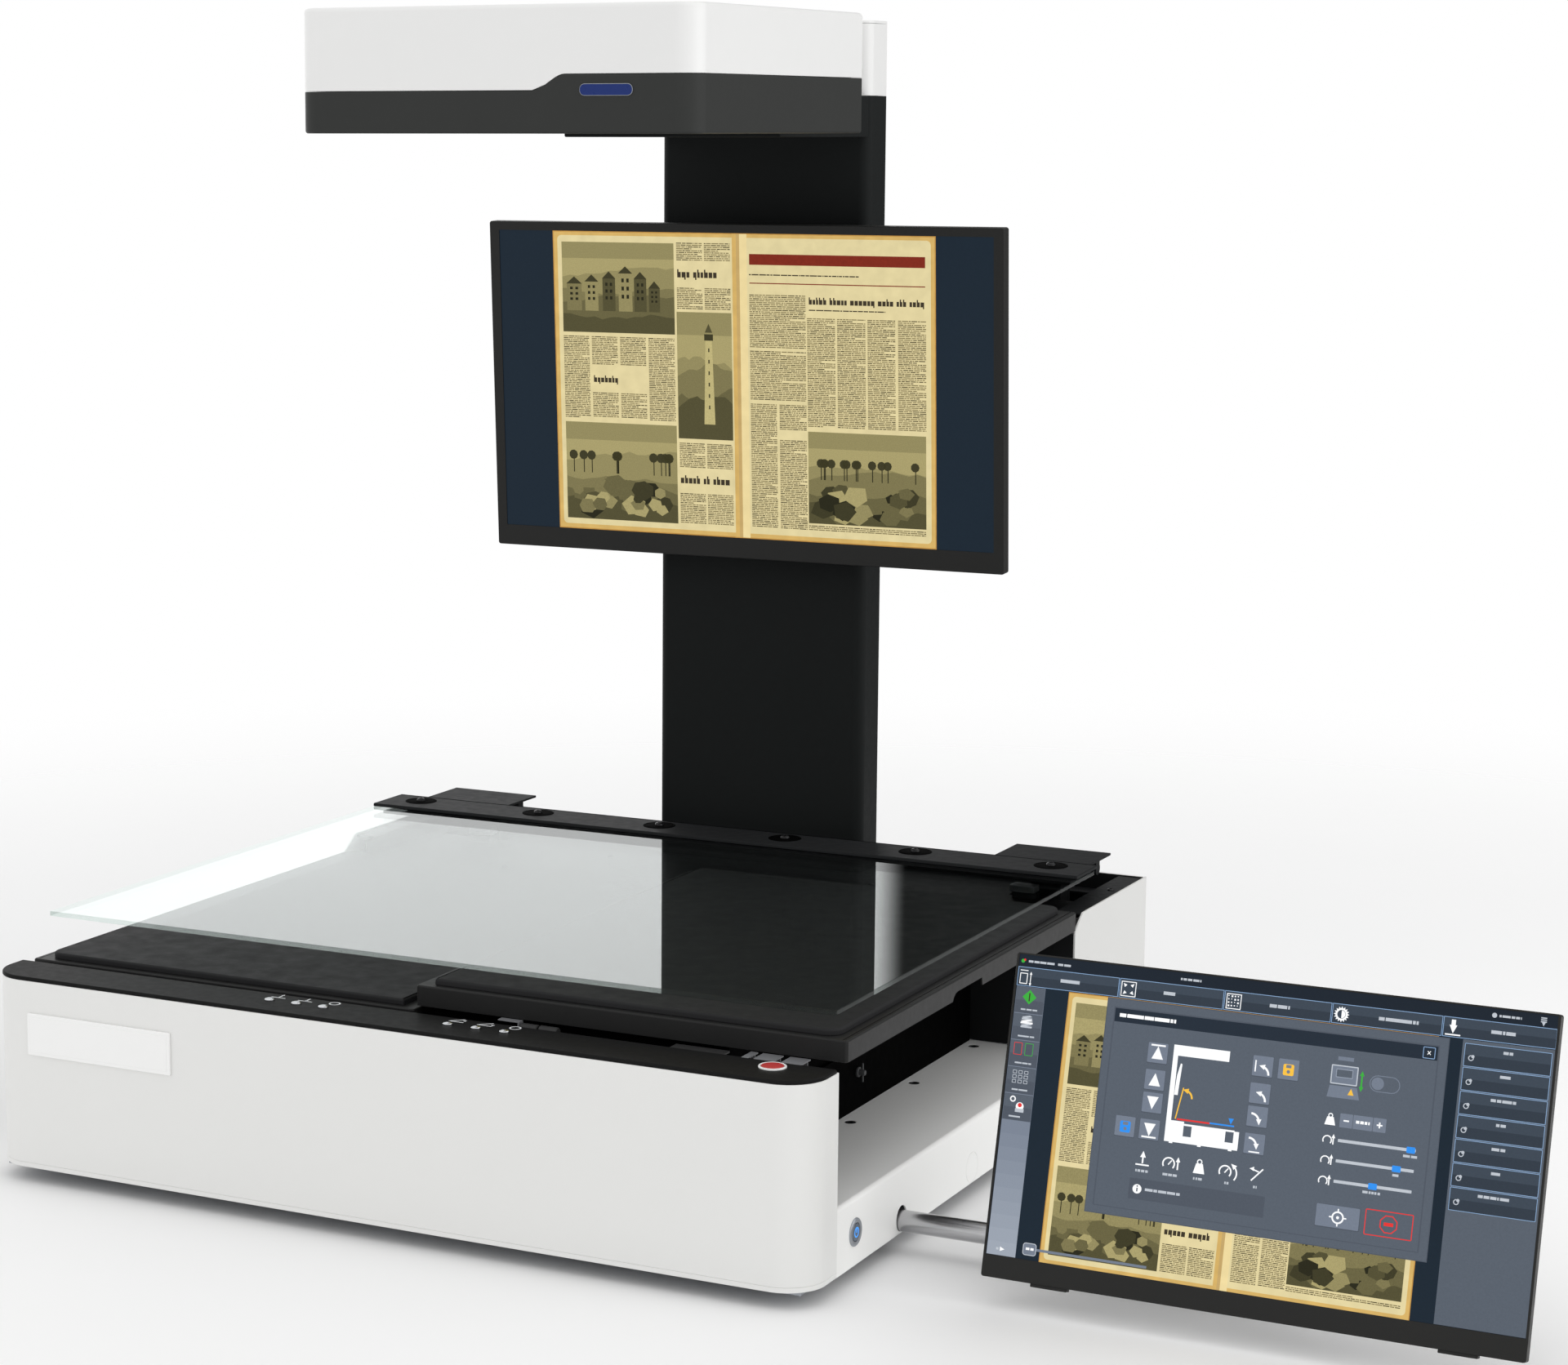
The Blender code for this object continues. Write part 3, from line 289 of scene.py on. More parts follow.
def inset(outline, depth):
    """The outline moved inwards, each point along the bisector of its two edges."""
    if not depth:
        return list(outline)
    moved = []
    for i, (x, y) in enumerate(outline):
        normals = []
        for a, b in ((outline[i - 1], (x, y)), ((x, y), outline[(i + 1) % len(outline)])):
            dx, dy = b[0] - a[0], b[1] - a[1]
            size = hypot(dx, dy)
            if size > 1e-9:
                normals.append((-dy / size, dx / size))
        nx, ny = sum(n[0] for n in normals), sum(n[1] for n in normals)
        size = hypot(nx, ny)
        nx, ny = nx / size, ny / size
        along = max(0.35, nx * normals[0][0] + ny * normals[0][1])
        moved.append((x + nx * depth / along, y + ny * depth / along))
    return moved


def loft(bm, rows, material=0):
    """Skins rows of points that all have the same count; the first and last are capped."""
    rings = [[bm.verts.new(p) for p in row] for row in rows]
    for low, high in zip(rings, rings[1:]):
        for i in range(len(low)):
            bm.faces.new((low[i - 1], low[i], high[i], high[i - 1])).material_index = material
    for ring in (rings[0], rings[-1]):
        bm.faces.new(ring).material_index = material


PLANES = {"XY": lambda u, v, h: (u, v, h), "XZ": lambda u, v, h: (u, h, v), "YZ": lambda u, v, h: (h, u, v)}


def prism(bm, outline, levels, plane="XY"):
    """An outline carried straight from one level to another, with plain edges."""
    loft(bm, [[PLANES[plane](u, v, h) for u, v in outline] for h in levels])


def slab(bm, outline, low, high, edge=0.0006, plane="XY", steps=3, material=0, top_edge=None):
    """An outline made solid between two levels, with rounded edges."""
    top = edge if top_edge is None else top_edge
    levels = [(edge * s, low + edge * c) for s, c in quarter(steps)]
    levels += [(top * c, high - top * s) for s, c in quarter(steps)]
    loft(bm, [[PLANES[plane](u, v, h) for u, v in inset(outline, depth)] for depth, h in levels], material)


def cuboid(bm, low, high, edge=0.0006, steps=2, material=0):
    """A block with all its edges rounded."""
    low, high = [Vector(c) for c in zip(*[sorted(pair) for pair in zip(low, high)])]
    shape = Matrix.Translation((low + high) / 2) @ Matrix.Diagonal((*(high - low), 1.0))
    verts = bmesh.ops.create_cube(bm, size=1.0, matrix=shape)["verts"]
    for face in {f for v in verts for f in v.link_faces}:
        face.material_index = material
    if edge:
        edges = list({e for v in verts for e in v.link_edges})
        bmesh.ops.bevel(bm, geom=edges, offset=edge, segments=steps, profile=0.5, affect="EDGES",
                        material=material)


TURNS = {"Z": Matrix.Identity(4), "X": Matrix.Rotation(pi / 2, 4, "Y"),
         "Y": Matrix.Rotation(-pi / 2, 4, "X")}


def lathe(bm, profile, centre, axis="Z", steps=40, material=0, mirror=1):
    """A profile of (radius, height) pairs turned about an axis; radius 0 closes an end."""
    turn = Matrix.Diagonal((mirror, 1, 1, 1)) @ Matrix.Translation(Vector(centre)) @ TURNS[axis]
    rings = []
    for radius, height in profile:
        rings.append([bm.verts.new(turn @ Vector((*polar((0, 0), radius, tau * i / steps), height)))
                      for i in range(steps if radius > 0 else 1)])
    for low, high in zip(rings, rings[1:]):
        for i in range(steps):
            corners = [low[i - 1], low[i]] if len(low) > 1 else [low[0]]
            corners += [high[i], high[i - 1]] if len(high) > 1 else [high[0]]
            if len(set(corners)) > 2:
                bm.faces.new(corners).material_index = material


def plug(radius, low, high):
    """The profile of a plain cylinder."""
    return [(0, low), (radius, low), (radius, high), (0, high)]


def screw(bm, centre, axis="Z", radius=0.0045, height=0.0022):
    """A domed screw head with a round socket."""
    r, h = radius, height
    lathe(bm, [(0, 0), (r, 0), (r, h * 0.35), (r * 0.86, h * 0.75), (r * 0.62, h), (r * 0.45, h),
               (r * 0.42, h * 0.45), (0, h * 0.4)], centre, axis, 24)


def boxed(name, radii, corner_steps, edge, **edges):
    """A CAD node's box as a mesh with rounded upright corners, with the box's two corners."""
    low, high = span(name)
    bm = bmesh.new()
    slab(bm, rounded((low.x, low.y), (high.x, high.y), radii, corner_steps), low.z, high.z, edge, **edges)
    return bm, low, high


def screws(name, places, axis, radius, height, **riding):
    """One piece made of equal screw heads."""
    bm = bmesh.new()
    for place in places:
        screw(bm, place, axis, radius, height)
    put(name, bm, DARK_STEEL, "bright_steel", **riding)


# ---------------------------------------------------------------- base
def wrapped(half, corner, offset=0.0):
    """The front cover's line round both corners, from left to right, offset inwards."""
    r = corner - offset
    return arc((corner - half, corner), r, 180, 270, 16) + arc((half - corner, corner), r, 270, 360, 16)


def base_covers():
    low, high = span("front_cover")
    half, depth, corner, sheet = high.x, high.y, 0.048, 0.002
    inner = wrapped(half, corner, sheet)[::-1]
    outline = ([(-half, depth)] + wrapped(half, corner) + [(half, depth), (half - sheet, depth)] + inner
               + [(sheet - half, depth)])
    hem, seam = 0.006, 0.0001
    bm = bmesh.new()
    slab(bm, outline, low.z + hem + seam, high.z, 0.0005)
    slab(bm, outline, low.z, low.z + hem, 0.0005)
    put("front_cover_shell", bm, WHITE, "white_paint", "front_cover")

    bm = bmesh.new()
    slab(bm, rounded((-0.488, 0.1635), (-0.28, 0.2156), 0.0016, 3), -0.0034, 0.0, 0.0009, "XZ")
    slab(bm, rounded((-0.4835, 0.168), (-0.2845, 0.2111), 0.001, 3), -0.0038, -0.003, 0.0003, "XZ")
    put("blank_name_plate", bm, WHITE_PLATE, "white_plastic")

    low, high = span("control_plate")
    small = 0.002
    outline = (wrapped(high.x, corner) + arc((high.x - small, high.y - small), small, 0, 90, 3)
               + arc((small - high.x, high.y - small), small, 90, 180, 3))
    bm = bmesh.new()
    slab(bm, outline, low.z, high.z, 0.0006, top_edge=0.0022, steps=4)
    plate = put("control_plate_top", bm, PLATE_BLACK, "black_paint", "control_plate")
    bm = bmesh.new()
    for name in SMALL_BUTTONS + ["stop_button"]:
        x, y, radius = round_place(name)
        hole = radius + FIT if name in SMALL_BUTTONS else STOP_HOLE
        lathe(bm, plug(hole, -0.02, 0.02), (x, y, low.z), steps=32)
    carve(plate, bm)


def round_place(name):
    """The middle and radius of an upright round CAD node."""
    low, high = span(name)
    return (low.x + high.x) / 2, (low.y + high.y) / 2, (high.x - low.x) / 2


LEDGE_SCREWS = (0.401, 0.599, 0.8)
LEDGE_SCREW_X = 0.4245


def side_housing(side, sign):
    low, high = span(f"{side}_side_housing")
    inner, outer = sorted((abs(low.x), abs(high.x)))
    fold, sheet, top = 0.0052, 0.002, high.z
    centre = (outer - fold, top - fold)
    path = ([(inner, top - sheet)] + arc(centre, fold - sheet, 90, 0, 6) + [(outer - sheet, low.z)]
            + [(outer, low.z)] + arc(centre, fold, 0, 90, 8) + [(inner, top)])
    outline = [(sign * x, z) for x, z in path]
    if sign < 0:
        outline.reverse()
    bm = bmesh.new()
    slab(bm, outline, low.y, high.y, 0.0004, "XZ")
    # The side cover takes the lighter copy of the white paint, which is painted light.
    shell = put(f"{side}_side_cover", bm, WHITE_LEDGE_LIT, "white_paint", f"{side}_side_housing")
    bm = bmesh.new()
    wall = sign * outer
    for y in LEDGE_SCREWS:
        lathe(bm, [(0, -0.004), (0.0046, -0.004), (0.0074, 0.0), (0.0074, 0.004), (0, 0.004)],
              (sign * LEDGE_SCREW_X, y, top), steps=32)
    if sign > 0:
        lathe(bm, plug(0.0153, -0.01, 0.01), (wall, 0.2624, 0.037), "X", 48)
        lathe(bm, plug(0.0108, -0.01, 0.01), (wall, 0.1278, 0.0589), "X", 40)
        groove = [(0.0182, 0.0004), (0.0188, 0.0004), (0.0188, -0.0006), (0.0182, -0.0006), (0.0182, 0.0004)]
        lathe(bm, groove, (wall, 0.4805, 0.0395), "X", 56)
    carve(shell, bm)
    bm = bmesh.new()
    for y in LEDGE_SCREWS:
        lathe(bm, [(0, -0.0034), (0.0044, -0.0034), (0.007, -0.0008), (0.0068, -0.0003), (0.0032, -0.0002),
                   (0.003, -0.002), (0, -0.0022)], (sign * LEDGE_SCREW_X, y, top), steps=32)
    put(f"{side}_ledge_screws", bm, DARK_STEEL, "bright_steel")
    bm = bmesh.new()
    y, z = 0.459, 0.145
    lathe(bm, [(0, 0), (0.0062, 0), (0.0062, 0.002), (0.004, 0.0026), (0.0036, 0.009), (0.0028, 0.01),
               (0, 0.01)], (0.4085, y, z), "X", 28, mirror=sign)
    lathe(bm, [(0, -0.012), (0.0012, -0.0116), (0.0012, 0.0116), (0, 0.012)], (0.415, y, z), "Z", 16,
          mirror=sign)
    put(f"{side}_wall_stud", bm, GREY_BLOCK, "bright_steel")


def rear_panels():
    for side, _ in SIDES:
        low, high = span(f"{side}_rear_panel")
        outline = [(low.y, low.z), (high.y, low.z), (high.y, high.z), (low.y + 0.029, high.z),
                   (low.y, high.z - 0.02)]
        bm = bmesh.new()
        slab(bm, outline, low.x, high.x, 0.0008, "YZ")
        # The rear side panels take the darker copy of the white paint, which is painted shade.
        put(f"{side}_rear_side_panel", bm, WHITE_REAR_SHADED, "white_paint", f"{side}_rear_panel")
    low, high = span("rear_cover")
    bm = bmesh.new()
    slab(bm, rounded((low.x, low.z), (high.x, high.z), 0.002, 3), low.y, high.y, 0.0006, "XZ")
    back = put("rear_cover_sheet", bm, WHITE, "white_paint", "rear_cover")
    i_low, i_high = span("power_inlet")
    through = (1.09, 1.12)
    bm = bmesh.new()
    cuboid(bm, (i_low.x - FIT, through[0], i_low.z - FIT), (i_high.x + FIT, through[1], i_high.z + FIT), 0)
    for x in (-0.25, 0.25):
        for row in range(9):
            z = 0.06 + row * 0.011
            prism(bm, rounded((x - 0.085, z), (x + 0.085, z + 0.004), 0.00199, 4), through, "XZ")
    carve(back, bm)
    bm = bmesh.new()
    for x in (-0.53, -0.2, 0.2, 0.53):
        for z in (0.034, 0.266):
            screw(bm, (x, high.y, z), "Y", 0.0042, 0.0018)
    for x in (i_low.x - 0.0085, i_high.x + 0.0085):
        screw(bm, (x, high.y, 0.085), "Y", 0.0032, 0.0014)
    put("rear_cover_screws", bm, DARK_STEEL, "bright_steel")
    bm = bmesh.new()
    for dx, dz in ((-0.0065, -0.002), (0.0065, -0.002), (0.0, 0.003)):
        cuboid(bm, (-0.4 + dx - 0.001, 1.0825, 0.085 + dz - 0.0022),
               (-0.4 + dx + 0.001, 1.0985, 0.085 + dz + 0.0022), 0.0003)
    put("inlet_pins", bm, BRIGHT, "bright_steel")
    finish_node("power_inlet", BACK_PLASTIC, 0.0006)


def inner_base():
    for name in ("left_chassis_wall", "right_chassis_wall", "front_bulkhead", "left_lift_carrier",
                 "right_lift_carrier"):
        finish_node(name, PIT_BLACK, 0.0004)
    finish_node("rear_deck", BLACK, 0.0006)
    finish_node("floor_pan", ZINC, 0.0006)
    for name in ("left_lift_unit", "right_lift_unit", "glass_lift_guide"):
        finish_node(name, GREY_BLOCK, 0.0012)
    finish_node("arm_clamp", ALUMINIUM, 0.0008)
    for end in ("front_left", "front_right", "rear_left", "rear_right"):
        x, y, r = round_place(f"foot_{end}")
        h = span(f"foot_{end}")[1].z
        bm = bmesh.new()
        lathe(bm, [(0, 0), (r - 0.003, 0), (r - 0.001, 0.0008), (r, 0.0026), (r, h * 0.35),
                   (r - 0.0015, h * 0.42), (r - 0.0015, h * 0.5), (r - 0.001, h * 0.56), (r - 0.004, h),
                   (0, h)], (x, y, 0.0))
        put(f"rubber_foot_{end}", bm, RUBBER, "rubber", f"foot_{end}")
    heads, blocks, stands = bmesh.new(), bmesh.new(), bmesh.new()
    for _, sign in SIDES:
        screw(heads, (sign * 0.533, 1.009, 0.2765), "Z", 0.0048, 0.0022)
        for x, y in ((0.3, 0.85), (0.2, 0.98)):
            screw(heads, (sign * x, y, 0.256), "Z", 0.004, 0.002)
        cuboid(blocks, (sign * 0.399, 0.985, 0.2662), (sign * 0.434, 1.006, 0.2752), 0.001)
        cuboid(stands, (sign * 0.402, 0.988, 0.2562), (sign * 0.431, 1.003, 0.2668), 0.0008)
    put("deck_screws", heads, DARK_STEEL, "bright_steel")
    put("deck_stop_blocks", blocks, ALUMINIUM, "aluminium")
    put("deck_stop_stands", stands, BLACK, "black_paint")
    # Painted shade: a thin black sheet over the white inner face of the rear cover darkens it where it lies
    # in shade.
    low, high = span("rear_cover")
    bm = bmesh.new()
    cuboid(bm, (low.x + 0.001, low.y - 0.0004, 0.23), (high.x - 0.001, low.y - 0.0001, high.z - 0.0006),
           0.0001, 1)
    put("rear_cover_painted_shade", bm, BLACK, "black_paint")


def behind_the_plate():
    """Brackets and blocks that show through the gap between the control plate and the trays."""
    rear, top, pan = 0.0963, 0.2598, 0.176
    bm = bmesh.new()
    slab(bm, [(0.117, top - 0.0008), (0.143, top - 0.0008), (0.143, top - 0.01), (0.1452, top - 0.01),
              (0.1452, top + 0.0006), (0.117, top + 0.0006)], rear - 0.01, rear, 0.0003, "XZ")
    for x0, x1 in ((0.4352, 0.444), (0.45, 0.475), (0.4834, 0.508)):
        cuboid(bm, (x0, 0.07, top - 0.0016), (x1, rear, top), 0.0004)
        cuboid(bm, (x0 + 0.001, 0.0896, pan), (x1 - 0.001, 0.0912, top - 0.001), 0.0003)
    put("front_limit_brackets", bm, DULL_STEEL, "aluminium")
    bm = bmesh.new()
    for x0, x1 in ((0.1475, 0.169), (0.1715, 0.195)):
        lathe(bm, [(0, 0), (0.006, 0), (0.007, 0.001), (0.007, x1 - x0 - 0.001), (0.006, x1 - x0),
                   (0, x1 - x0)], (x0, 0.0885, top - 0.0075), "X", 28)
    cuboid(bm, (0.342, 0.076, top - 0.0052), (0.409, rear, top - 0.0026), 0.0006)
    put("front_sensor_blocks", bm, GREY_DARK, "black_paint")
    bm = bmesh.new()
    cuboid(bm, (-0.46, 0.09, pan), (0.42, 0.0925, 0.246), 0.0006)
    for x in (0.13, 0.21, 0.36, 0.4225):
        cuboid(bm, (x, 0.078, 0.19), (x + 0.01, 0.0895, 0.244), 0.0008)
    put("front_rail", bm, PIT_BLACK, "black_paint")


# ---------------------------------------------------------------- controls
STOP_HOLE, STOP_RING, STOP_CAP = 0.0144, 0.016, 0.0129
SMALL_BUTTONS = ["glass_up_button", "glass_down_button", "glass_park_button",
                 "tilt_open_button", "tilt_close_button", "tilt_park_button"]


def legend(kind, x, y, z):
    """A small printed sign beside a button: arrows and a ring, without lettering."""
    width, big, bm = 0.0011, 1.55, bmesh.new()

    def flat(row):
        prism(bm, [(x + u * big, y + v * big) for u, v in row], (z, z + 0.00012))

    def bar(a, b):
        a, b = Vector(a), Vector(b)
        along = (b - a).normalized()
        across = Vector((-along.y, along.x)) * width / 2
        flat([a - across, b - across, b + across, a + across])

    def head(tip, angle):
        flat([tip] + [polar(tip, 0.003, radians(angle + t)) for t in (150, 210)])

    if kind in ("up", "down"):
        bar((-0.0062, -0.0042), (0.0062, -0.0042))
        bar((0, -0.0042), (0, 0.0035))
        head((0, 0.0052), 90) if kind == "up" else head((0, -0.004), 270)
    elif kind in ("open", "close"):
        bar((-0.0062, -0.0042), (0.0062, -0.0042))
        bar((-0.0058, -0.004), (0.0035, 0.004))
        head((0.0058, 0.002), 60) if kind == "open" else head((0.0058, -0.003), 280)
    else:
        for i in range(24):
            bar(*(polar((0, 0), 0.004, tau * k / 24) for k in (i, i + 1)))
    return bm


def controls():
    plate_top = span("control_plate")[1].z
    for name in SMALL_BUTTONS:
        (low, high), (cx, cy, r) = span(name), round_place(name)
        bm = bmesh.new()
        lathe(bm, [(0, low.z), (r - 0.0004, low.z), (r, low.z + 0.0004), (r, high.z - 0.001),
                   (r * 0.95, high.z - 0.0004), (r * 0.82, high.z + 0.0001), (r * 0.5, high.z + 0.0007),
                   (r * 0.25, high.z + 0.0009), (0, high.z + 0.001)], (cx, cy, 0))
        put(f"{name}_cap", bm, BRIGHT, "bright_steel", name, name.replace("_button", "_key"))
        put(f"{name}_legend", legend(name.split("_")[1], cx + 0.0022, cy + 0.0222, plate_top + 0.00002), INK)
    low = span("stop_button")[0]
    cx, cy, _ = round_place("stop_button")
    r, hole, proud = STOP_CAP, STOP_HOLE - FIT, plate_top + 0.00005
    bm = bmesh.new()
    lathe(bm, [(r + FIT, plate_top - 0.003), (hole, plate_top - 0.003), (hole, proud), (STOP_RING, proud),
               (STOP_RING, plate_top + 0.0012), (STOP_RING - 0.0006, plate_top + 0.0019),
               (r + 0.0008, plate_top + 0.0019), (r + FIT, plate_top + 0.0015), (r + FIT, plate_top - 0.003)],
          (cx, cy, 0), steps=56)
    put("stop_button_ring", bm, WHITE_PLATE, "white_plastic")
    top = plate_top + 0.0022
    bm = bmesh.new()
    lathe(bm, [(0, low.z), (r - 0.0005, low.z), (r, low.z + 0.0005), (r, top - 0.0008),
               (r - FIT, top - 0.0002), (r - 0.001, top), (r * 0.5, top + 0.0001), (0, top + 0.0001)],
          (cx, cy, 0), steps=56)
    put("stop_button_cap", bm, RED, "red_plastic", "stop_button", "stop_key")
    low, high = span("power_button")
    cy, cz, r = (low.y + high.y) / 2, (low.z + high.z) / 2, (high.y - low.y) / 2
    wall, face, lip = span("front_cover")[1].x, high.x, r + 0.0004
    bm = bmesh.new()
    lathe(bm, [(lip, -0.004), (0.0105, -0.004), (0.0105, 0.00005), (0.0164, 0.00005), (0.0162, 0.0012),
               (0.0151, 0.0021), (0.0134, 0.0024), (lip, 0.0016), (lip, -0.004)], (wall, cy, cz), "X", 56)
    put("power_button_ring", bm, ZINC, "bright_steel")
    bm = bmesh.new()
    lathe(bm, [(0, low.x), (r - 0.0005, low.x), (r, low.x + 0.0005), (r, face - 0.001),
               (r - 0.0006, face - 0.0002), (r - 0.0014, face), (0, face)], (0, cy, cz), "X", 48)
    lathe(bm, [(0.0046, face - 0.0004), (0.006, face - 0.0004), (0.006, face + 0.00025),
               (0.0046, face + 0.00025), (0.0046, face - 0.0004)], (0, cy, cz), "X", 48, 1)
    cuboid(bm, (face - 0.0003, cy - 0.0009, cz - 0.0006), (face + 0.0003, cy + 0.0009, cz + 0.0042), 0.0001,
           1, 1)
    put("power_button_cap", bm, [POWER_FACE, BLUE_RING], "blue_plastic", "power_button", "power_key")


# ---------------------------------------------------------------- column and head
def column():
    r, sharp = 0.015, 0.0012
    bm, low, high = boxed("column_shell", [r, r, sharp, sharp], 8, 0.0006)
    front = low.y
    put("column_casing", bm, COLUMN_BLACK, "black_paint", "column_shell")
    x, bottom, top = high.x - 0.014, low.z + 0.3, high.z - 0.04
    bm = bmesh.new()
    slab(bm, rounded((-x, bottom), (x, top), 0.004, 4), high.y - 0.0005, high.y + 0.0012, 0.0005, "XZ")
    put("column_service_cover", bm, COLUMN_BLACK, "black_paint")
    places = [(sign * (x - 0.01), high.y + 0.0011, bottom + (top - bottom) * share)
              for _, sign in SIDES for share in (0.02, 0.34, 0.66, 0.98)]
    screws("column_cover_screws", places, "Y", 0.004, 0.0018)
    put("neck_underside", boxed("neck_beam", 0.0015, 2, 0.002)[0], COLUMN_BLACK, "black_paint", "neck_beam")
    low, high = span("neck_cover")
    bridge, lid, seam = 0.135, 0.0035, 0.0004
    outline = ([(-bridge, low.y), (bridge, low.y), (bridge, front - 0.002)]
               + arc((high.x - r, front + r), r, 270, 360, 8)
               + arc((high.x - sharp, high.y - sharp), sharp, 0, 90, 2)
               + arc((sharp - high.x, high.y - sharp), sharp, 90, 180, 2)
               + arc((r - high.x, front + r), r, 180, 270, 8) + [(-bridge, front - 0.002)])
    bm = bmesh.new()
    slab(bm, outline, low.z, high.z - lid - seam, 0.0004)
    slab(bm, outline, high.z - lid, high.z, 0.0003, top_edge=0.001)
    put("neck_casing", bm, WHITE_SATIN, "white_paint", "neck_cover")


def seam_height(x):
    """The S-shaped seam of the head's two mouldings."""
    bottom, top = span("head_upper_cover")[0].z, span("head_lower_housing")[1].z
    share = min(1.0, max(0.0, (x - 0.0575) / 0.0425))
    return bottom + (top - bottom) * (3 - 2 * share) * share ** 2


HEAD_STEPS = [0.0, 0.3, 0.62, 0.655] + [0.66 + 0.008 * i for i in range(13)] + [0.77, 0.85, 1.0]


def head_outline(depth):
    """The head's footprint, moved inwards, with extra points where the seam bends."""
    low, high = span("head_upper_cover")
    x0, y0, x1, y1 = low.x + depth, low.y + depth, high.x - depth, high.y - depth
    r, small = 0.03 - depth, 0.0012
    return (arc((x0 + r, y0 + r), r, 180, 270, 10)[:-1]
            + [(x0 + r + (x1 - x0 - 2 * r) * t, y0) for t in HEAD_STEPS]
            + arc((x1 - r, y0 + r), r, 270, 360, 10)[1:] + arc((x1 - small, y1 - small), small, 0, 90, 2)
            + [(x0 + (x1 - x0) * t, y1) for t in reversed(HEAD_STEPS[1:-1])]
            + arc((x0 + small, y1 - small), small, 90, 180, 2))


def along_seam(rows):
    """Rows of the head's outline that follow the seam, each at a rise from it and a depth inwards."""
    return [[(x, y, seam_height(x) + rise) for x, y in head_outline(depth)] for rise, depth in rows]


def level_rows(rows):
    return [[(x, y, z) for x, y in head_outline(depth)] for z, depth in rows]


def head():
    low, high = span("head_upper_cover")
    front, edge = low.y, 0.0055
    bm = bmesh.new()
    loft(bm, along_seam([(0.004, 0.0028), (0.0004, 0.0028), (0, 0.0004), (0.0004, 0.0)])
         + level_rows([(high.z - edge * s, edge * c) for s, c in quarter(5)]))
    put("head_upper_moulding", bm, WHITE_SATIN, "white_plastic", "head_upper_cover")

    bottom = span("head_lower_housing")[0].z
    edge, gap = 0.0032, 0.0006
    bm = bmesh.new()
    loft(bm, level_rows([(bottom + edge * c, edge * s) for s, c in quarter(4)])
         + along_seam([(-gap - 0.0005, 0.0), (-gap, 0.0005), (-gap, 0.0028), (-gap - 0.006, 0.003)]))
    lower = put("head_lower_moulding", bm, GRAPHITE, "graphite_plastic", "head_lower_housing")
    cx, cy, r = round_place("camera_lens")
    bm = bmesh.new()
    lathe(bm, plug(r + FIT, bottom - 0.01, bottom + 0.03), (cx, cy, 0), steps=48)
    for side, _ in SIDES:
        l_low, l_high = span(f"{side}_lamp")
        cuboid(bm, (l_low.x - FIT, l_low.y - FIT, bottom - 0.01),
               (l_high.x + FIT, l_high.y + FIT, bottom + 0.014), 0)
    carve(lower, bm)
    bm = bmesh.new()
    lathe(bm, [(0.0, 0.03), (r - 0.0005, 0.03), (r, 0.0295), (r, 0.0008), (r - 0.0008, 0.0), (0.0245, 0.0),
               (0.0232, 0.001), (0.0225, 0.004), (0.0205, 0.0045), (0.02, 0.008), (0.0, 0.008)],
          (cx, cy, bottom + 0.0005), steps=56)
    lathe(bm, [(0.0, 0.0046), (0.008, 0.005), (0.014, 0.006), (0.0196, 0.0078), (0.0196, 0.0082),
               (0, 0.0082)], (cx, cy, bottom + 0.0005), steps=48, material=1)
    put("lens_barrel", bm, [BACK_PLASTIC, LENS_GLASS], "dark_plastic", "camera_lens")
    for side, _ in SIDES:
        bm, low, high = boxed(f"{side}_lamp", 0.003, 4, 0.001)
        for i in range(22):
            y = low.y + 0.01 + (high.y - low.y - 0.02) * i / 21
            cuboid(bm, (low.x + 0.003, y - 0.0022, low.z - 0.0006),
                   (high.x - 0.003, y + 0.0022, low.z + 0.0004), 0.0005, 1)
        put(f"{side}_lamp_cover", bm, DIFFUSER, "lamp_lens", f"{side}_lamp")
    bm = bmesh.new()
    pill = rounded((0.12, 1.313), (0.189, 1.327), 0.0065, 8)
    slab(bm, pill, front - 0.0014, front + 0.001, 0.0005, "XZ", material=1)
    slab(bm, inset(pill, 0.0006), front - 0.0019, front - 0.001, 0.0005, "XZ")
    put("blank_badge", bm, [BADGE, ZINC])


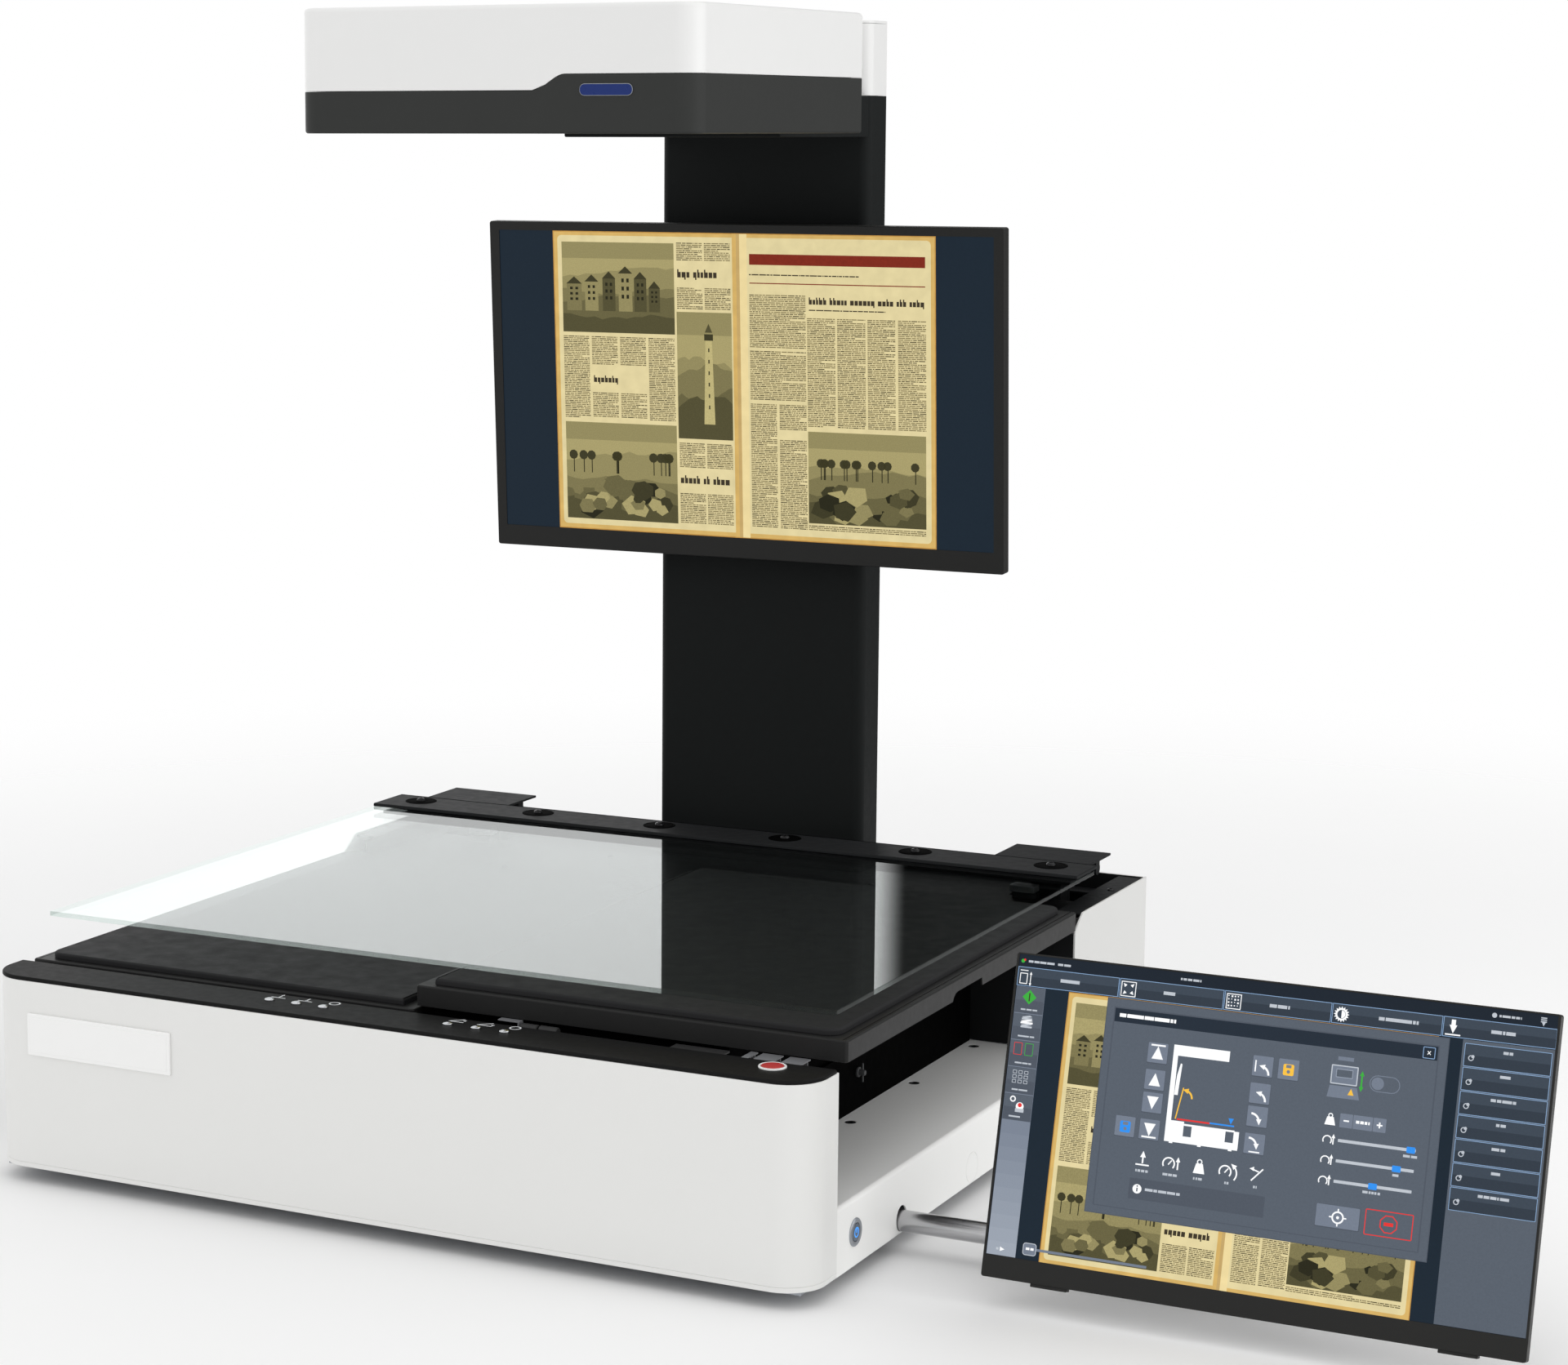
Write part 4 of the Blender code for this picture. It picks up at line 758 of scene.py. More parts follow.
# ---------------------------------------------------------------- glass plate
def glass_group():
    bm, _, _ = boxed("glass_plate", 0.003, 3, 0.0009, steps=2)
    bm.normal_update()
    for face in bm.faces:
        face.material_index = 0 if abs(face.normal.z) > 0.999 else 1
    put("pressing_glass", bm, [GLASS, GLASS_EDGE], "clear_glass", "glass_plate", "glass")
    bm, low, high = boxed("clamp_bar", 0.0016, 2, 0.0006, top_edge=0.0014)
    cuboid(bm, (low.x, high.y - 0.0024, low.z - 0.0056), (high.x, high.y - 0.0002, low.z + 0.001), 0.0004)
    put("clamp_bar_profile", bm, BAR_BLACK, "black_aluminium", "clamp_bar", "glass")
    # Painted shade: a thin near-black strip along the bar's rear top edge stands for the dark line of shade
    # there.
    bm = bmesh.new()
    cuboid(bm, (low.x + 0.002, high.y - 0.0009, high.z - 0.0012),
           (high.x - 0.002, high.y + 0.0001, high.z + 0.0003), 0.0001)
    put("clamp_bar_painted_shade_line", bm, PIT_BLACK, "black_aluminium", body="glass")
    places = [(sign * x, 0.925, high.z) for _, sign in SIDES for x in (0.0958, 0.2873, 0.479)]
    bm = bmesh.new()
    for place in places:
        lathe(bm, [(0, -0.001), (0.0225, -0.001), (0.0225, 0.00025), (0.022, 0.0006), (0.0205, 0.0007),
                   (0.02, 0.0003), (0.0192, 0.00025), (0.0186, 0.00065), (0, 0.00065)], place, steps=56)
    put("clamp_washers", bm, PIT_BLACK, "black_aluminium", body="glass")
    screws("clamp_screws", [(x, y, z + 0.0006) for x, y, z in places], "Z", 0.0062, 0.0036, body="glass")
    finish_node("lower_clamp_strip", BAR_BLACK, 0.0006)
    for side, _ in SIDES:
        finish_node(f"{side}_hinge_plate", BAR_BLACK, 0.0005)
        finish_node(f"{side}_hinge_pin", DARK_STEEL, 0.0004)
    finish_node("glass_lift_beam", BLACK, 0.0008)


# ---------------------------------------------------------------- trays
def tray(side, sign):
    low, high = span(f"{side}_tray")
    body, edge, sheet = f"{side}_book_tray", 0.0022, 0.0018
    outline = rounded((low.x, low.y), (high.x, high.y), 0.0035, 4)
    levels = [(sheet, high.z - 0.0019), (sheet, low.z + 0.0003), (sheet * 0.5, low.z), (0.0, low.z + 0.0004)]
    levels += [(edge * c, high.z - edge * s) for s, c in quarter(4)]
    bm = bmesh.new()
    loft(bm, [[(x, y, h) for x, y in inset(outline, depth)] for depth, h in levels])
    pan = put(f"{side}_tray_pan", bm, TRAY_BLACK, "black_aluminium", f"{side}_tray", body)
    bm = bmesh.new()
    wall = sign * max(abs(low.x), abs(high.x))
    foot, step = low.z - 0.01, low.z + 0.01
    notch = [(0.398, foot), (0.502, foot), (0.499, step), (0.422, step), (0.415, low.z + 0.009),
             (0.409, low.z + 0.005)]
    prism(bm, notch, (wall - sign * 0.006, wall + sign * 0.006), "YZ")
    cuboid(bm, (wall - sign * 0.0072, low.y + 0.004, high.z - 0.0011),
           (wall - sign * 0.0058, high.y - 0.004, high.z + 0.002), 0)
    carve(pan, bm)
    left, right = (0.0012, 0.018)[::sign]
    bm, _, _ = boxed(f"{side}_tray_mat", [left, right, right, left], 8, 0.0004, top_edge=0.003, steps=4)
    put(f"{side}_non_slip_mat", bm, MAT, "mat_rubber", f"{side}_tray_mat", body)


# ---------------------------------------------------------------- screens
class Drawing:
    """Flat lit shapes on a screen. Places are millimetres from the screen's upper left corner.

    A shape's level times the step is its height in front of the pane.
    """

    def __init__(self, width, height, face, step):
        self.bm = bmesh.new()
        self.width, self.height, self.face, self.step = width, height, face, step
        self.finishes, self.order = {}, []
        self.scale, self.shift = 1.0, (0.0, 0.0)

    def poly(self, points, colour, level):
        if colour not in self.finishes:
            self.finishes[colour] = len(self.order)
            self.order.append(SCREEN_COLOURS[colour])
        y = self.face - (level + 1) * self.step
        places = [(u * self.scale + self.shift[0], v * self.scale + self.shift[1]) for u, v in points]
        face = self.bm.faces.new([self.bm.verts.new((u * MM - self.width / 2, y, self.height / 2 - v * MM))
                                  for u, v in places])
        face.material_index = self.finishes[colour]
        face.normal_update()
        if face.normal.y > 0:
            face.normal_flip()

    def rect(self, x0, y0, x1, y1, colour, level):
        self.poly([(x0, y0), (x1, y0), (x1, y1), (x0, y1)], colour, level)

    def rects(self, colour, level, *boxes):
        for box in boxes:
            self.rect(*box, colour, level)

    def soft(self, x0, y0, x1, y1, radius, colour, level):
        self.poly(rounded((x0, y0), (x1, y1), radius, 4), colour, level)

    def framed(self, x0, y0, x1, y1, line, rim, fill, level, radius=0.8):
        self.soft(x0, y0, x1, y1, radius, rim, level)
        self.soft(x0 + line, y0 + line, x1 - line, y1 - line, max(0.2, radius - line), fill, level + 1)

    def disc(self, x, y, radius, colour, level, sides=28, start=0.0):
        self.poly([polar((x, y), radius, start + tau * i / sides) for i in range(sides)], colour, level)

    def ring(self, x, y, radius, line, colour, level, start=0, end=360, sides=28):
        steps = max(3, int(sides * abs(end - start) / 360))
        outer = arc((x, y), radius, start, end, steps)
        inner = arc((x, y), radius - line, start, end, steps)
        for i in range(steps):
            self.poly([outer[i], outer[i + 1], inner[i + 1], inner[i]], colour, level)

    def line(self, x0, y0, x1, y1, width, colour, level):
        dx, dy = x1 - x0, y1 - y0
        size = hypot(dx, dy)
        ux, uy = -dy / size * width / 2, dx / size * width / 2
        self.poly([(x0 + ux, y0 + uy), (x1 + ux, y1 + uy), (x1 - ux, y1 - uy), (x0 - ux, y0 - uy)], colour,
                  level)

    def triangle(self, x, y, size, angle, colour, level):
        self.poly([polar((x, y), size, radians(angle + turn)) for turn in (0, 130, 230)], colour, level)

    def words(self, x0, y0, x1, y1, pitch, height, colour, level, rng, longest=9.0):
        """Grey lines that stand for running text; printed text varies between two inks."""
        inks = ("ink", "ink", "ink_deep") if colour == "ink" else (colour,)
        y = y0
        while y + height <= y1:
            x = x0
            last = rng.random() < 0.09
            end = x0 + (x1 - x0) * (0.5 + 0.4 * rng.random() if last else 1.0)
            while x < end - 0.8:
                length = min(end - x, 1.6 + rng.random() * longest)
                self.rect(x, y, x + length, y + height, inks[int(rng.random() * len(inks))], level)
                x += length + 0.7 + rng.random() * 0.5
            y += pitch

    def headline(self, x0, y0, x1, y1, colour, level, rng):
        """Large greyed words: rows of blocks with a few risers, which spell nothing."""
        tall, x = y1 - y0, x0
        base = y1 - tall * 0.2
        while x < x1 - tall:
            for _ in range(2 + int(rng.random() * 6)):
                wide = tall * (0.26 + 0.2 * rng.random())
                if x + wide > x1:
                    break
                self.rect(x, base - tall * 0.54, x + wide, base, colour, level)
                choice = rng.random()
                if choice < 0.3:
                    self.rect(x, base - tall * 0.8, x + tall * 0.15, base - tall * 0.5, colour, level)
                elif choice > 0.88:
                    self.rect(x + wide - tall * 0.15, base - tall * 0.1, x + wide, y1, colour, level)
                x += wide + tall * 0.09
            x += tall * 0.32

    def piece(self, name, body, place):
        put(name, self.bm, self.order, "screen_glass", body=body, place=place)


# key, sRGB colour; the printed page's tones also have a grain and its scale
LIT = (("navy", (22, 35, 47)), ("deep", (24, 33, 44)), ("title", (32, 42, 54)), ("slate", (84, 92, 103)),
       ("slate_dark", (76, 83, 94)), ("slate_light", (112, 121, 136)), ("tab", (58, 68, 80)),
       ("pale", (146, 155, 170)), ("tab_dark", (47, 56, 67)), ("rim", (137, 168, 205)),
       ("white", (244, 246, 248)), ("grey", (184, 190, 198)), ("blue", (48, 140, 232)),
       ("yellow", (240, 188, 66)), ("green", (58, 168, 60)), ("red", (222, 52, 50)))
PRINTED = (("paper", (217, 203, 154), 0.07, 60), ("paper_edge", (206, 170, 98), 0.1, 60),
           ("paper_rim", (184, 138, 68), 0.14, 90), ("paper_light", (228, 208, 152), 0.05, 60),
           ("gutter", (190, 160, 102), 0.08, 60), ("ink", (122, 110, 74), 0.14, 900),
           ("ink_deep", (74, 66, 40), 0.14, 900), ("ink_dark", (58, 50, 36), 0.1, 900),
           ("band", (122, 38, 22), 0.1, 300))
# key, darkest and lightest tone, how many, grain
TONES = (("tone", (36, 35, 18), (184, 172, 118), 8, 0.16),
         ("strip", (118, 127, 142), (152, 160, 172), 10, 0.03))
SCREEN_COLOURS = {key: glow(f"screen_{key}", colour) for key, colour in LIT}
SCREEN_COLOURS |= {key: glow(f"page_{key}", colour, grain, scale) for key, colour, grain, scale in PRINTED}
for key, dark, light, count, grain in TONES:
    for i in range(count):
        mixed = [a + (b - a) * i / (count - 1) for a, b in zip(dark, light)]
        SCREEN_COLOURS[f"{key}{i}"] = glow(f"{key}_{i}", mixed, grain, 900)


def ridge(rng, x0, x1, base, height):
    """A hill line across a picture."""
    count = 14
    points, level = [], base
    for i in range(count + 1):
        level += (rng.random() - 0.5) * height * 0.5
        level = min(base + height * 0.5, max(base - height, level))
        points.append((x0 + (x1 - x0) * i / count, level))
    return points


def picture(d, x0, y0, x1, y1, kind, level, rng):
    """A printed landscape in the page's own tones."""
    w, h = x1 - x0, y1 - y0
    d.rect(x0, y0, x1, y1, "tone6", level)
    bands, sky = 7, h * 0.42
    for i in range(bands):
        d.rect(x0, y0 + sky * i / bands, x1, y0 + sky * (i + 1) / bands, f"tone{5 + (i * 2 + 1) // bands}",
               level + 1)
    for k in range(4):
        base = y0 + h * (0.4 + 0.13 * k)
        line = ridge(rng, x0, x1, base, h * 0.13)
        line = [(x, max(y0 + h * 0.12, min(y1 - 0.5, y))) for x, y in line]
        d.poly([(x1, y1), (x0, y1)] + line, f"tone{5 - k}", level + 2 + k)
    if kind == "tower":
        cx = x0 + w * 0.58
        d.poly([(cx - w * 0.1, y1 - h * 0.12), (cx - w * 0.06, y0 + h * 0.22), (cx + w * 0.06, y0 + h * 0.22),
                (cx + w * 0.1, y1 - h * 0.12)], "tone7", level + 7)
        d.rect(cx - w * 0.08, y0 + h * 0.17, cx + w * 0.08, y0 + h * 0.22, "tone1", level + 8)
        d.triangle(cx, y0 + h * 0.13, w * 0.09, 270, "tone2", level + 8)
        for i in range(6):
            d.rect(cx - w * 0.012, y0 + h * (0.28 + i * 0.09), cx + w * 0.012, y0 + h * (0.31 + i * 0.09),
                   "tone1", level + 8)
    elif kind == "town":
        x = x0 + w * 0.04
        while x < x1 - w * 0.14:
            wide, tall = w * (0.09 + 0.05 * rng.random()), h * (0.18 + 0.18 * rng.random())
            top = y0 + h * 0.7 - tall
            d.rect(x, top, x + wide, y0 + h * 0.76, f"tone{2 + int(rng.random() * 4)}", level + 7)
            d.poly([(x - 0.6, top), (x + wide / 2, top - h * 0.08), (x + wide + 0.6, top)], "tone1",
                   level + 8)
            for i in range(2):
                for j in range(3):
                    u, v = x + wide * (0.22 + 0.36 * i), top + tall * (0.15 + 0.25 * j)
                    d.rect(u, v, u + wide * 0.18, v + tall * 0.12, "tone0", level + 8)
            x += wide * (1.05 + 0.3 * rng.random())
    else:
        for i in range(26):
            cx, cy = x0 + w * (0.1 + 0.8 * rng.random()), y0 + h * (0.62 + 0.3 * rng.random())
            size = h * (0.05 + 0.07 * rng.random())
            sides = 5 + int(rng.random() * 3)
            turn = rng.random() * tau
            turns = [turn + tau * k / sides for k in range(sides)]
            points = [(cx + size * 1.5 * cos(a) * (0.7 + 0.3 * rng.random()), cy + size * sin(a))
                      for a in turns]
            points = [(min(x1 - 0.3, max(x0 + 0.3, a)), min(y1 - 0.3, max(y0 + 0.3, b))) for a, b in points]
            d.poly(points, f"tone{int(rng.random() * 7)}", level + 7 + i * 0.1)
        for i in range(12):
            x = x0 + w * (0.05 + 0.9 * rng.random())
            d.rect(x, y0 + h * 0.3, x + w * 0.008, y0 + h * 0.52, "tone0", level + 6.5)
            d.disc(x, y0 + h * 0.34, h * 0.05, "tone1", level + 6.6, 9)


def double_page(d, level, pitch=2.5):
    """An opened newspaper, as generic columns, headlines and pictures."""
    rng = random.Random(7)
    x0, y0, x1, y1 = 99.5, 12.0, 670.0, 428.0
    d.rect(x0, y0, x1, y1, "paper_rim", level)
    d.rect(x0 + 1.5, y0 + 1.5, x1 - 1.5, y1 - 1.5, "paper_edge", level + 0.5)
    d.soft(x0 + 7, y0 + 6, x1 - 7, y1 - 7, 6, "paper", level + 1)
    d.rect(374, y0 + 1, 380, y1 - 1, "paper_edge", level + 1.5)
    d.rect(380, y0 + 1, 385, y1 - 1, "gutter", level + 1.5)
    d.rect(385, y0 + 1, 396, y1 - 1, "paper_light", level + 1.5)
    text = level + 2
    picture(d, 113, 27, 286, 151.5, "town", text, rng)
    picture(d, 289, 120, 372, 294, "tower", text, rng)
    picture(d, 113, 277, 286, 413, "rocks", text, rng)
    picture(d, 484, 277, 655.5, 402, "rocks", text, rng)
    columns = [(113, 153, 157, 271), (157, 197, 157, 198), (201, 241, 157, 198), (157, 197, 235, 271),
               (201, 241, 235, 271), (245, 285, 157, 271), (290, 329, 26, 52), (332, 371, 26, 52),
               (290, 329, 87, 116), (332, 371, 87, 116), (290, 329, 300, 335), (332, 371, 300, 335),
               (290, 329, 370, 413), (332, 371, 370, 413), (399, 482, 94, 166), (399, 482, 170, 238),
               (399, 438, 242, 412), (442, 482, 242, 276), (442, 482, 290, 412), (484, 525, 124, 272),
               (528, 569, 124, 272), (572, 612, 124, 272), (616, 656, 124, 272), (484, 655, 405, 412)]
    for a, b, top, bottom in columns:
        d.words(a, top, b, bottom, pitch, pitch * 0.52, "ink", text, rng)
    for box in ((159, 211, 204, 223), (291, 62, 352, 76), (291, 345, 366, 359), (487, 96, 657, 108)):
        d.headline(*box, "ink_dark", text, rng)
    d.words(487, 112.5, 640, 115, 4, 1.5, "ink_dark", text, rng, 10)
    d.words(399, 66.5, 560, 69, 4, 1.6, "ink_dark", text, rng, 9)
    d.rects("band", text, (399.5, 39.5, 655, 54), (399.5, 78, 655, 79.4))


def display(name, tilt, size, rim, bulge, window, slots, glass):
    """A flat display on its tilt axis: a case with a rear bulge, a pane behind the rim and what it shows."""
    joint = next(j for j in frame["joints"] if j["name"] == f"{name}_tilt")
    place = Matrix.Translation(Vector(joint["pos_m"])) @ Matrix.Rotation(radians(tilt), 4, "X")
    w, h, face, corner, edge = size
    (half_x, half_z, bulge_corner), bulge_low, bulge_high = bulge
    bm = bmesh.new()
    slab(bm, rounded((-w / 2, -h / 2), (w / 2, h / 2), corner, 5), face, rim, edge, "XZ")
    slab(bm, rounded((-half_x, -half_z), (half_x, half_z), bulge_corner, 6), bulge_low, bulge_high, 0.004,
         "XZ", steps=4)
    case = put(f"{name}_case", bm, [BEZEL], "dark_plastic", f"{name}_housing", name, place)
    bm = bmesh.new()
    left, right, bottom, top, window_corner, recess = window
    outline = rounded((left - w / 2, h / 2 - bottom), (w / 2 - right, h / 2 - top), window_corner, 2)
    prism(bm, outline, (face - 0.004, face + recess), "XZ")
    count, first, pitch, half, levels = slots
    for i in range(count):
        z = first + i * pitch
        prism(bm, rounded((-half, z), (half, z + 0.0018), 0.00085, 3), levels, "XZ")
    carve(case, bm, overlaps=True)
    bm = bmesh.new()
    prism(bm, inset(outline, 0.0001), (face + 0.0011, face + recess - 0.0001), "XZ")
    put(f"{name}_glass", bm, SCREEN_COLOURS[glass], "screen_glass", f"{name}_panel", name, place)
    return place


def preview_monitor():
    w, h, face, rim = 0.766, 0.4566, -0.0355, 0.0175
    place = display("monitor", 2.9, (w, h, face, 0.0035, 0.0012), face + rim,
                    ((0.27, 0.15, 0.02), face + rim - 0.001, -0.0128),
                    (0.015, 0.0145, 0.428, 0.012, 0.0008, 0.002), (15, 0.085, 0.0038, 0.21, (-0.016, -0.004)),
                    "navy")
    d = Drawing(w, h, face + 0.0011, 0.00004)
    double_page(d, 0)
    d.piece("monitor_picture", "monitor", place)
    finish_node("monitor_bracket", BLACK, 0.0006)
    finish_node("monitor_tilt_plate", ZINC, 0.0005)
    places = [(x, -0.0095, z) for x in (-0.05, 0.05) for z in (-0.045, 0.045)]
    screws("monitor_plate_screws", places, "Y", 0.004, 0.0018, body="monitor", place=place)


# ---------------------------------------------------------------- touchscreen
def touch_menu(d):
    """The machine's menu: tabs, a dialog with arrows and sliders, and two columns of buttons."""
    rng = random.Random(3)
    d.rect(3, 2, 590, 331.5, "navy", 0)
    d.scale, d.shift = 0.712, (64 - 99.5 * 0.712, 37 - 12 * 0.712)
    double_page(d, 1, 2.7)
    d.scale, d.shift = 1.0, (0.0, 0.0)
    top = 12
    d.rect(3, 2, 590, 15.3, "deep", top)
    d.disc(7.5, 9, 2.2, "green", top + 1, 10)
    d.disc(9.6, 7.6, 1.3, "red", top + 2, 10)
    for x0, x1 in ((14, 45), (48, 64), (188, 211), (530, 553)):
        d.words(x0, 7.6, x1, 10.4, 6, 2.4, "grey", top + 1, rng, 7)
    d.disc(525, 8.6, 2.6, "grey", top + 1, 14)
    for i in range(3):
        d.rect(572.5, 5 + i * 2.0, 578.5, 6.2 + i * 2.0, "grey", top + 1)
    d.triangle(575.5, 11.6, 2.6, 90, "grey", top + 1)
    for i in range(5):
        x = 3 + 117.6 * i
        d.rect(x, 15.3, x + 116.8, 36.2, "rim", top)
        d.rect(x + 0.6, 15.9, x + 116.2, 25.6, "tab", top + 1)
        d.rect(x + 0.6, 25.6, x + 116.2, 35.6, "tab_dark", top + 1)
        d.words(x + 50, 24.2, x + 50 + (22, 13, 22, 42, 25)[i], 28.6, 9, 3.6, "grey", top + 2, rng, 30)
    tab_icons(d, top + 2)
    d.rect(3.5, 37, 37, 331.5, "slate_light", top)
    for k in range(10):
        d.rect(3.5, 184 + k * 14.75, 37, 184 + (k + 1) * 14.75, f"strip{k}", top + 1)
    for i in range(5):
        y = 37 + 29.4 * i
        d.rect(3.8, y + 0.4, 36.6, y + 28.9, "slate_dark", top + 1)
        d.rect(4.3, y + 0.9, 36.1, y + 14.6, "slate", top + 2)
        d.words(11, y + 24, 30, y + 26.4, 6, 1.7, "grey", top + 3, rng, 12)
    side_icons(d, top + 3)
    d.triangle(20.5, 324.5, 3.2, 0, "white", top + 3)
    d.rect(14.0, 323.2, 16.8, 325.8, "grey", top + 3)
    d.rect(495.5, 37, 590, 331.5, "slate", top)
    for i in range(7):
        y = 40.5 + 24.85 * i
        d.framed(498, y, 587.6, y + 23.9, 0.55, "rim", "tab", top + 1)
        d.rect(498.8, y + 12, 586.8, y + 23.2, "tab_dark", top + 3)
        half = (5, 6, 13, 5, 7, 5, 16)[i]
        d.words(543 - half, y + 4.4, 543 + half, y + 8.4, 9, 3.0, "grey", top + 4, rng, 12)
        d.ring(505.4, y + 15.0, 3.0, 1.0, "grey", top + 4, sides=14)
        d.disc(507.2, y + 13.2, 1.7, "grey", top + 4, 10)
    dialog(d, top + 5, rng)
    d.line(58, 320, 185, 320, 2.8, "slate_light", top + 2)
    d.framed(44.5, 313.5, 60, 327, 0.8, "grey", "slate_light", top + 4, 3)
    d.words(48, 318.6, 57, 321.8, 6, 2.6, "white", top + 6, rng, 3)


def tab_icons(d, level):
    x, y = 4.8, 18.0
    d.framed(x + 1, y + 4, x + 10, y + 16, 0.9, "white", "tab", level, 0.6)
    d.line(x + 13.5, y + 5, x + 13.5, y + 15, 0.9, "white", level)
    d.triangle(x + 13.5, y + 4, 1.9, 270, "white", level)
    d.triangle(x + 13.5, y + 16, 1.9, 90, "white", level)
    d.line(x + 1, y + 1.2, x + 10, y + 1.2, 0.9, "white", level)
    x = 122.5
    d.framed(x, y, x + 17, y + 16.5, 0.9, "white", "tab", level, 0.5)
    for sx, sy, a in ((4.2, 4.0, 225), (12.8, 4.0, 315), (4.2, 12.5, 135), (12.8, 12.5, 45)):
        d.triangle(x + sx, y + sy, 2.5, a, "white", level + 2)
    x = 240.5
    d.framed(x, y, x + 16.5, y + 16.5, 0.9, "white", "tab", level, 0.5)
    for i in range(4):
        for j in range(4):
            size = 1.0 + 0.28 * ((i * 3 + j * 5) % 4)
            u, v = x + 1.9 + i * 3.4, y + 1.9 + j * 3.4
            d.rect(u, v, u + size, v + size, "white", level + 2)
    x = 366.0
    d.disc(x, y + 8.2, 6.4, "white", level)
    for i in range(16):
        a = tau * i / 16
        d.triangle(*polar((x, y + 8.2), 6.9, a), 1.5, degrees(a), "white", level)
    d.disc(x, y + 8.2, 4.6, "tab", level + 1)
    d.poly([(x, y + 4.0)] + [polar((x, y + 8.2), 4.2, radians(t)) for t in range(-80, 91, 17)], "white",
           level + 2)
    x = 484.0
    d.rect(x - 2.2, y, x + 2.2, y + 8, "white", level)
    d.triangle(x, y + 9.0, 5.2, 90, "white", level)
    d.rect(x - 8, y + 15.0, x + 8, y + 16.4, "white", level)


def side_icons(d, level):
    d.poly([(19.5, 40), (27.5, 48), (19.5, 56), (11.5, 48)], "green", level)
    d.line(19.5, 43.5, 19.5, 52.5, 1.4, "ink_dark", level + 1)
    for i, (w, tone) in enumerate(((12, "grey"), (14, "white"), (13, "grey"))):
        y = 69 + i * 4.4
        d.poly([(19.5 - w / 2, y + 1), (19.5 + w / 4, y - 1), (19.5 + w / 2, y + 0.5),
                (19.5 - w / 4, y + 2.6)], tone, level)
        d.rect(19.5 - w / 2, y + 2.0, 19.5 + w / 2, y + 4.0, tone, level)
    d.framed(8.2, 98.5, 17.6, 112, 0.6, "red", "slate_dark", level, 0.4)
    d.framed(21.0, 98.5, 30.4, 112, 0.6, "green", "slate_dark", level, 0.4)
    for i in range(3):
        for j in range(3):
            u, v = 10.2 + i * 6.6, 128.8 + j * 5.2
            d.framed(u, v, u + 4.6, v + 3.8, 0.6, "grey", "slate_dark", level, 0.4)
    d.ring(13.8, 160.5, 3.4, 1.4, "white", level, sides=16)
    d.disc(22.5, 168, 4.6, "white", level, 16)
    d.rect(17.5, 170.4, 27.5, 174.4, "grey", level + 1)
    d.disc(22.5, 166.5, 2.4, "red", level + 2, 12)


def curved_arrow(d, x, y, radius, start, end, colour, level, line=2.2):
    d.ring(x, y, radius, line, colour, level, start, end, 36)
    a = radians(end)
    d.triangle(*polar((x, y), radius - line / 2, a), 3.8, end + (90 if end > start else -90), colour, level)


def key(d, x, y, level):
    """A raised square key of the menu."""
    size = 22.8
    d.soft(x, y, x + size, y + size, 1.0, "slate_dark", level)
    d.soft(x + 0.3, y + 0.2, x + size - 0.5, y + size - 1.1, 0.9, "slate_light", level + 1)


def dialog(d, level, rng):
    d.rect(109, 37.4, 482, 270.5, "slate_dark", level)
    d.rect(110, 38.4, 481, 269.5, "slate", level + 1)
    d.rect(117.5, 46.5, 472.5, 262, "slate_dark", level + 2)
    d.rect(119, 48, 471, 261, "slate", level + 3)
    d.rect(119, 48, 471, 62.6, "title", level + 4)
    d.words(124.5, 53.2, 188, 57.8, 9, 3.9, "white", level + 5, rng, 26)
    d.framed(455.6, 49.3, 468.4, 61.4, 0.7, "rim", "title", level + 5, 1.0)
    for s in (-1, 1):
        d.line(460.4, 55.4 - s * 1.8, 463.6, 55.4 + s * 1.8, 0.8, "white", level + 7)
    t = level + 4
    for y in (80.0, 109.0, 133.6, 162.6):
        key(d, 160.2, y, t)
        key(d, 276.6, y, t)
    for y, angle, bar in ((80.0, 270, -8.2), (109.0, 270, 0), (133.6, 90, 0), (162.6, 90, 8.2)):
        cy = y + 11 + (1.2 if angle == 270 else -1.2)
        d.triangle(171.6, cy, 8.4, angle, "white", t + 2)
        if bar:
            d.rect(163.6, y + 11 + bar - 0.9, 179.6, y + 11 + bar + 0.9, "white", t + 2)
    key(d, 132.8, 162.6, t)
    d.soft(138.5, 168.0, 150.2, 180.2, 1.6, "blue", t + 2)
    d.rect(141.5, 168.8, 147.5, 172.2, "slate_light", t + 3)
    d.disc(144.4, 176.2, 1.9, "slate_light", t + 3, 12)
    key(d, 304.6, 80.0, t)
    d.soft(310.2, 85.4, 321.8, 97.4, 1.6, "yellow", t + 2)
    d.rect(313.2, 86.2, 318.8, 89.4, "slate_light", t + 3)
    d.disc(316.0, 93.4, 1.9, "slate_light", t + 3, 12)
    curved_arrow(d, 286.0, 100.0, 10.0, 0, -78, "white", t + 2)
    d.rect(279.4, 85.2, 280.8, 97.4, "white", t + 2)
    for x, y, start, end in ((285.4, 128.4, 0, -78), (281.2, 150.6, -90, -6), (281.2, 176.6, -90, -6)):
        curved_arrow(d, x, y, 10.0, start, end, "white", t + 2)
    d.rect(282.4, 181.6, 294.2, 183.0, "white", t + 2)
    machine_icon(d, t)
    status_row(d, t, rng)
    settings(d, t, rng)


